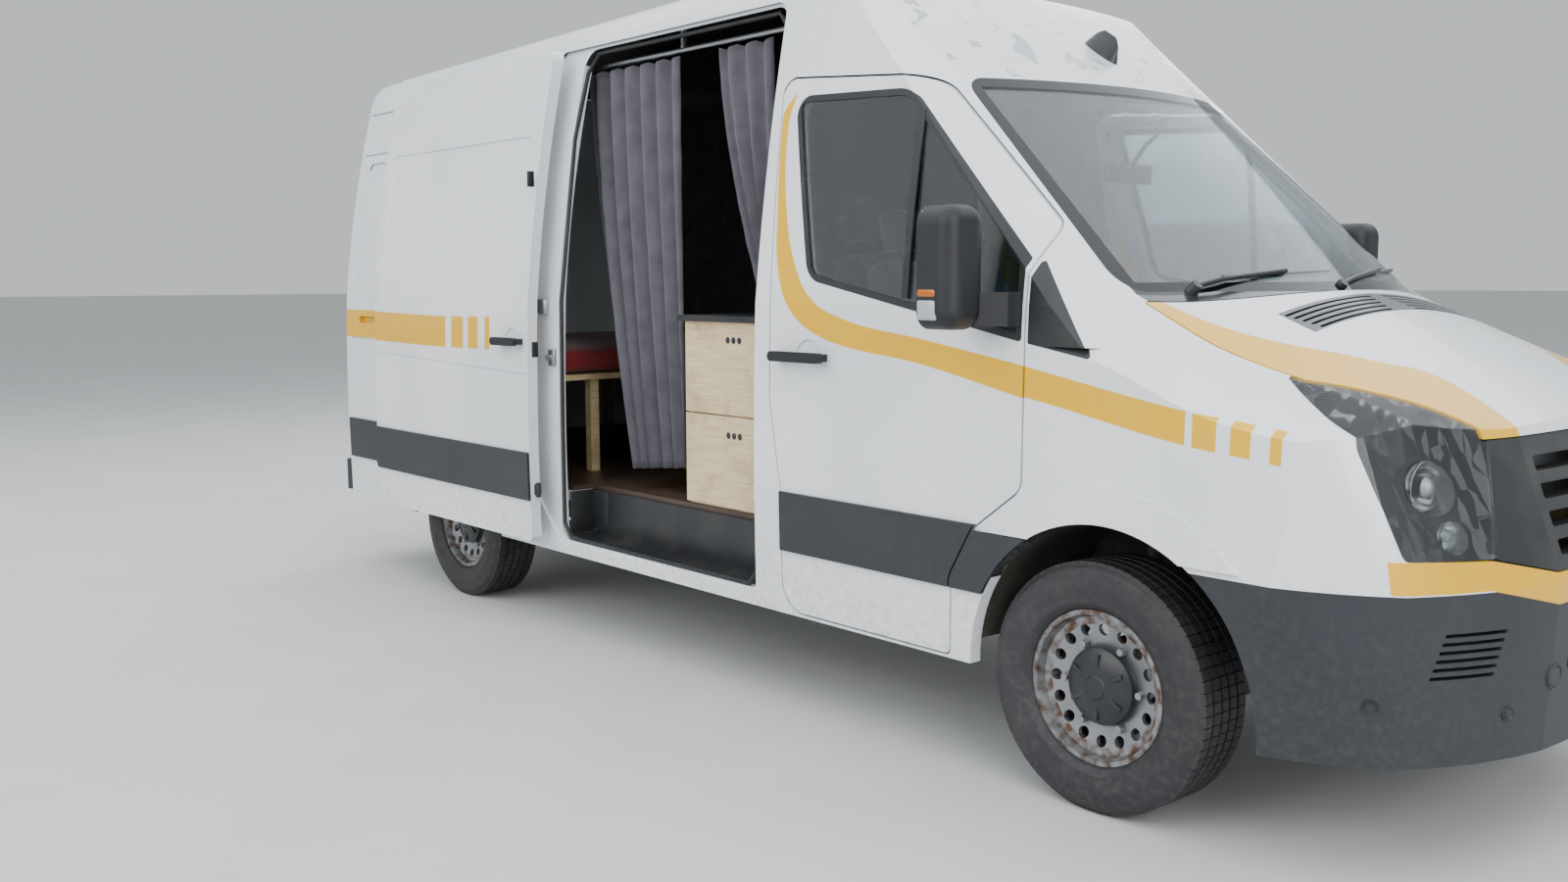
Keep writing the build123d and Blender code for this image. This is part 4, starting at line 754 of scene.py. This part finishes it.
def tube(name, points, radius, material):
    """A bar of round section that follows points."""
    curve = bpy.data.curves.new(name, "CURVE")
    curve.dimensions = "3D"
    curve.bevel_depth = radius
    curve.bevel_resolution = 3
    curve.use_fill_caps = True
    line = curve.splines.new("POLY")
    line.points.add(len(points) - 1)
    for spot, point in zip(line.points, points):
        spot.co = (*point, 1)
    holder = bpy.data.objects.new(name + "_path", curve)
    data = bpy.data.meshes.new_from_object(holder)
    bpy.data.objects.remove(holder)
    bm = bmesh.new()
    bm.from_mesh(data)
    bpy.data.meshes.remove(data)
    face_out(bm)
    add_piece(name, bm, material, "van_body")


def along_screen(y, z, lift):
    """A point on the screen's outer face at y and z, lifted off it by lift.

    The screen leans back 1.05 per metre of height and bows back 0.150 at its sides."""
    bow = 2.0895 - 0.150 * (y / 0.828) ** 2
    return Vector((bow - 1.05 * (z - 1.437), y, z)) + SCREEN_OUT * lift


def wiper(name, pivot_y, tip_y, low, high):
    """Wiper: tapered arm from its spindle and a blade of rubber under a spine, resting on the glass."""
    steps = 16
    blade = [along_screen(pivot_y + (tip_y - pivot_y) * (0.22 + 0.78 * part / steps),
                          low + (high - low) * part / steps, 0.016) for part in range(steps + 1)]
    tube(name + "_blade", blade, 0.0065, black_plastic)
    rubber = [point - Vector((0.0062, 0, 0.0065)) for point in blade]
    tube(name + "_rubber", rubber, 0.0028, seal_rubber)
    start = along_screen(pivot_y, low - 0.035, 0.030)
    middle = blade[steps // 2] + Vector((0.012, 0, 0.012))
    elbow = start.lerp(middle, 0.25) + Vector((0.006, 0, 0.008))
    tube(name + "_arm", [start, elbow, middle], 0.0075, black_plastic)
    bm = bmesh.new()
    foot = Matrix.Translation(start - Vector((0.008, 0, 0.008)))
    add_peg(bm, foot @ SCREEN_OUT.to_track_quat("Z", "Y").to_matrix().to_4x4(), 0.021, 0.042, 24, 0.016)
    add_piece(name + "_cap", bm, black_plastic, "van_body")


wiper("wiper_right", -0.62, 0.06, 1.478, 1.492)
wiper("wiper_left", 0.04, 0.70, 1.480, 1.500)


def lamp_inside(hand, side):
    """Bright bowl liner and projector glass behind the lens, for the main and the side lamp."""
    bowl = [(0.44, 0.001), (0.62, 0.004), (0.80, 0.012), (0.93, 0.026), (0.985, 0.040), (0.955, 0.040),
            (0.90, 0.029), (0.77, 0.0155), (0.60, 0.008), (0.44, 0.005), (0.44, 0.001)]
    for tag, y, z, radius, floor_x in (("main", 0.728, 0.985, 0.064, FRONT_AXLE + 0.746),
                                       ("side", 0.700, 0.868, 0.0385, FRONT_AXLE + 0.801)):
        centre = (floor_x, side * y, z)
        liner = [(radius * share, along) for share, along in bowl]
        add_turned_piece(f"lamp_bowl_{tag}_{hand}", liner, centre, (1, 0, 0), 40, chrome)
        front = radius * 0.74
        eye = [(0.0001, front + 0.012), (radius * 0.18, front + 0.010), (radius * 0.32, front + 0.004),
               (radius * 0.41, radius * 0.70), (0.0001, radius * 0.70)]
        add_turned_piece(f"lamp_eye_{tag}_{hand}", eye, centre, (1, 0, 0), 32, clear_lens)


def bumper_buttons():
    """Four parking sensors in their bezels, and the cover of the towing eye."""
    bm = bmesh.new()
    ring = [(0.0001, 0.0085), (0.011, 0.0085), (0.0125, 0.0060), (0.0150, 0.0060), (0.0165, 0.0075),
            (0.0190, 0.0075), (0.0205, 0.0040), (0.0205, 0.0)]
    for side in SIDES.values():
        for x, y, z, ahead, aside in ((2.700, 0.873, 0.462, 0.55, 0.83), (2.885, 0.547, 0.424, 0.95, 0.31)):
            facing = Vector((ahead, side * aside, -0.05)).normalized()
            add_turned(bm, ring, Vector((x, side * y, z)) - facing * 0.004, facing, steps=28)
    face_out(bm)
    add_piece("parking_sensors", bm, black_plastic, "van_body")
    facing = Vector((1.0, -0.07, -0.05)).normalized()
    cover = [(0.0001, 0.004), (0.024, 0.004), (0.026, 0.002), (0.028, 0.002), (0.030, 0.005),
             (0.034, 0.005), (0.036, 0.0)]
    add_turned_piece("tow_eye_cover", cover, Vector((2.926, -0.381, 0.495)) - facing * 0.001, facing, 36,
                     grey_plastic)


def window_divider(hand, side):
    """Upright bar between the drop glass and the fixed front pane, lying on the glass."""
    bm = bmesh.new()
    x = FRONT_AXLE - 0.712
    rows = [[bm.verts.new((x + dx, side * (y + 0.0015), z)) for dx in (-0.013, 0.013)]
            for z, y in ((1.430, 0.9825), (1.56, 0.972), (1.70, 0.956), (1.84, 0.935), (2.000, 0.906))]
    for lower, upper in zip(rows, rows[1:]):
        bm.faces.new((lower[0], lower[1], upper[1], upper[0]))
    face_out(bm)
    bmesh.ops.solidify(bm, geom=bm.faces[:], thickness=0.006)
    face_out(bm)
    add_piece(f"window_divider_{hand}", bm, black_plastic, f"front_door_{hand}_body")


def rear_hinges(hand, side):
    """Three hinges on a rear door, which leans forwards and inwards above the waist."""
    bm = bmesh.new()
    for z in (0.74, 1.42, 2.12):
        x = TAIL_X + 0.050 * min(max((z - 1.25) / 1.205, 0), 1)
        y = 0.868 if z < 1.4 else 0.868 - 0.0875 * (z - 1.4)
        right, left = sorted((side * (y - 0.135), side * (y - 0.012)))
        add_box(bm, (x - 0.0115, right, z - 0.030), (x + 0.0005, left, z + 0.030), 0.005)
        add_peg(bm, Matrix.Translation((x - 0.0100, side * (y - 0.006), z)), 0.011, 0.075)
    add_piece(f"rear_hinges_{hand}", bm, white_steel, f"rear_door_{hand}_body")


def tail_bands(hand, side):
    """The amber and the clear band across a tail lamp."""
    right, left = sorted((side * 0.884, side * 0.966))
    for tag, lens, low, high in (("indicator", amber_lens, 1.215, 1.315),
                                 ("reversing", clear_lens, 0.965, 1.055)):
        add_boxes(f"tail_{tag}_{hand}", [
            ((TAIL_X - 0.0205, right, low), (TAIL_X - 0.0165, left, high), 0.0018)], lens)


for hand, side in SIDES.items():
    seat(hand, side)
    mirror_fittings(hand, side)
    lamp_inside(hand, side)
    window_divider(hand, side)
    rear_hinges(hand, side)
    tail_bands(hand, side)
bumper_buttons()


def doorway_trim():
    """Rubber seal round the side doorway, and the striker and latch on its rear post."""
    foot, head, rear, front = 0.412, 2.416, -0.776, 0.508
    outline = [(front, -0.962, 1.4), (front, -0.880, head - 0.35), (front - 0.012, -0.812, head - 0.06),
               (front - 0.06, -0.802, head - 0.008), (rear + 0.08, -0.802, head - 0.008),
               (rear + 0.010, -0.815, head - 0.08), (rear, -0.880, head - 0.35), (rear, -0.962, 1.4),
               (rear, -0.968, 0.9), (rear, -0.968, foot + 0.06), (rear + 0.05, -0.968, foot),
               (front - 0.05, -0.968, foot), (front, -0.968, foot + 0.06), (front, -0.968, 0.9),
               (front, -0.962, 1.4)]
    tube("doorway_seal", outline, 0.0085, seal_rubber)
    bm = bmesh.new()
    add_box(bm, (-0.918, -0.9985, 1.345), (-0.858, -0.960, 1.410), 0.008)
    add_box(bm, (-0.845, -0.9935, 1.130), (-0.797, -0.965, 1.200), 0.006)
    lie = Matrix.Translation((-0.822, -0.996, 1.165)) @ Matrix.Rotation(math.radians(90), 4, "X")
    add_peg(bm, lie, 0.012, 0.030)
    add_piece("doorway_latches", bm, aluminium, "van_body")


def door_roller():
    """Lower roller carriage and the latch wedges on the sliding door's leading edge."""
    bm = bmesh.new()
    add_box(bm, (-0.862, -1.070, 0.588), (-0.836, -1.040, 0.634), 0.004)
    add_peg(bm, Matrix.Translation((-0.838, -1.056, 0.611)), 0.011, 0.060, 24)
    for z in (1.20, 1.90):
        add_box(bm, (-0.856, -1.066, z - 0.032), (-0.8445, -1.036, z + 0.032), 0.003)
    add_piece("slide_carriage", bm, black_plastic, "van_body")


def tail_fittings():
    """Door handle, plate holder with a bare plate, high brake light and the ribs of the bumper's tread."""
    door = "rear_door_left_body"
    posts = [((TAIL_X - 0.020, y - 0.012, 1.040), (TAIL_X, y + 0.012, 1.067), 0.004) for y in (0.060, 0.185)]
    grip = ((TAIL_X - 0.035, 0.040, 1.035), (TAIL_X - 0.016, 0.205, 1.072), 0.008, 3)
    add_boxes("rear_handle", [grip] + posts, black_plastic, door)
    add_boxes("plate_holder", [
        ((TAIL_X - 0.0060, 0.130, 0.720), (TAIL_X + 0.0005, 0.660, 0.835), 0.003)],
        black_plastic, door)
    add_boxes("bare_number_plate", [
        ((TAIL_X - 0.0090, 0.137, 0.726), (TAIL_X - 0.0058, 0.653, 0.829), 0.0012)],
        plate_white, door)
    bm = bmesh.new()
    add_box(bm, (-0.007, -0.150, -0.017), (0.007, 0.150, 0.017), 0.005, 3)
    lie = Matrix.Translation((-2.7860, 0, 2.560)) @ Matrix.Rotation(math.radians(24), 4, "Y")
    bmesh.ops.transform(bm, matrix=lie, verts=bm.verts)
    add_piece("high_brake_light", bm, red_lens, "van_body")
    add_boxes("bumper_tread", [
        ((-2.945 + 0.012 * step, -0.60, 0.5385), (-2.940 + 0.012 * step, 0.60, 0.5425), 0.001)
        for step in range(5)], black_plastic)


doorway_trim()
door_roller()
tail_fittings()


# Inside details

def cab_mirror():
    """Inside mirror on its stem under the top of the screen."""
    add_boxes("inside_mirror", [((1.318, -0.125, 1.808), (1.350, 0.125, 1.878), 0.014, 4)],
              black_plastic)
    add_boxes("inside_mirror_glass", [((1.3155, -0.116, 1.817), (1.3185, 0.116, 1.869), 0.001)],
              mirror_silver)
    tube("inside_mirror_stem", [(1.345, 0, 1.862), (1.40, 0, 1.93), (1.478, 0, 1.990)], 0.008,
         black_plastic)


def step_well_shade():
    """Black side and riser plates that close the step well behind the tread: a dark sheet put in as painted
    shade of the well.
    """
    add_boxes("step_well_shade", [((-0.779, -0.940, 0.425), (-0.772, -0.826, 0.600), 0.002),
                              ((-0.779, -0.832, 0.425), (-0.655, -0.826, 0.600), 0.002)],
              black_plastic)


def cabinet_trim():
    """Three finger holes with turned rims in each drawer front, and the worktop's dark edge band."""
    bm = bmesh.new()
    rim = [(0.0001, 0.0006), (0.0095, 0.0006), (0.0105, 0.0012), (0.0125, 0.0012), (0.0135, 0.0)]
    for z in (1.262, 0.905):
        for step in (-1, 0, 1):
            add_turned(bm, rim, (0.190 + 0.034 * step, -0.8195, z), (0, -1, 0), steps=24)
    face_out(bm)
    add_piece("drawer_grips", bm, black_plastic, "van_body")
    add_boxes("worktop_edge", [((-0.1225, -0.8465, 1.330), (0.5035, -0.8445, 1.3525), 0.0006),
                               ((-0.1225, -0.8465, 1.3518), (0.5035, -0.2995, 1.3535), 0.0006)],
              black_plastic)


cab_mirror()
step_well_shade()
cabinet_trim()


# Stage, light and camera

def add_stage():
    """Plain pale floor."""
    bm = bmesh.new()
    bmesh.ops.create_grid(bm, x_segments=2, y_segments=2, size=150.0)
    data = bpy.data.meshes.new("studio_floor")
    bm.to_mesh(data)
    bm.free()
    floor = bpy.data.objects.new("studio_floor", data)
    bpy.context.scene.collection.objects.link(floor)
    # Matt floor paint: even light grey, without gloss.
    data.materials.append(weathered("matt_floor_paint", "#C9CAC9", "#C4C5C5", "#BDBDBB", amount=0.2,
                                    rough=(0.7, 0.8), grain=0.004, bump=0.02))


def add_light(name, place, aim, size, power, colour="#FFFFFF"):
    """One soft box aimed at a point."""
    lamp = bpy.data.lights.new(name, "AREA")
    lamp.shape = "RECTANGLE"
    lamp.size, lamp.size_y = size
    lamp.energy = power
    lamp.color = linear(colour)[:3]
    box = bpy.data.objects.new(name, lamp)
    way = Vector(aim) - Vector(place)
    box.matrix_world = Matrix.Translation(place) @ way.to_track_quat("-Z", "Y").to_matrix().to_4x4()
    bpy.context.scene.collection.objects.link(box)


def add_sky():
    """Even pale light from all round."""
    world = bpy.data.worlds.new("studio_world")
    world.use_nodes = True
    sky = world.node_tree.nodes["Background"]
    sky.inputs["Color"].default_value = linear("#E3E8EC")
    sky.inputs["Strength"].default_value = 0.85
    bpy.context.scene.world = world


def add_camera():
    """The photograph's view: place, turn and lens."""
    data = bpy.data.cameras.new("camera")
    data.sensor_width = 36.0
    data.lens = 32.27
    data.clip_end = 200.0
    yaw, pitch, roll = math.radians(40.51), math.radians(6.58), math.radians(-0.2)
    way = Vector((-math.cos(pitch) * math.cos(yaw), math.cos(pitch) * math.sin(yaw), -math.sin(pitch)))
    turn = way.to_track_quat("-Z", "Y").to_matrix().to_4x4() @ Matrix.Rotation(roll, 4, "Z")
    camera = bpy.data.objects.new("camera", data)
    camera.matrix_world = Matrix.Translation((4.2795, -4.069, 1.489)) @ turn
    bpy.context.scene.collection.objects.link(camera)
    bpy.context.scene.camera = camera


add_stage()
add_light("overhead_box", (0.5, 2.0, 8.0), (0.5, 2.0, 0.5), (18.0, 24.0), 2300, "#F1F6FF")
add_light("front_box", (9.0, -3.5, 4.0), (1.5, 0, 1.0), (5.0, 4.0), 420)
add_light("side_box", (-0.5, -9.5, 4.5), (-0.5, 0, 1.0), (9.0, 4.0), 420)
add_light("far_box", (-6.0, 8.0, 4.0), (0, 0, 1.0), (7.0, 4.0), 300)
add_sky()
add_camera()
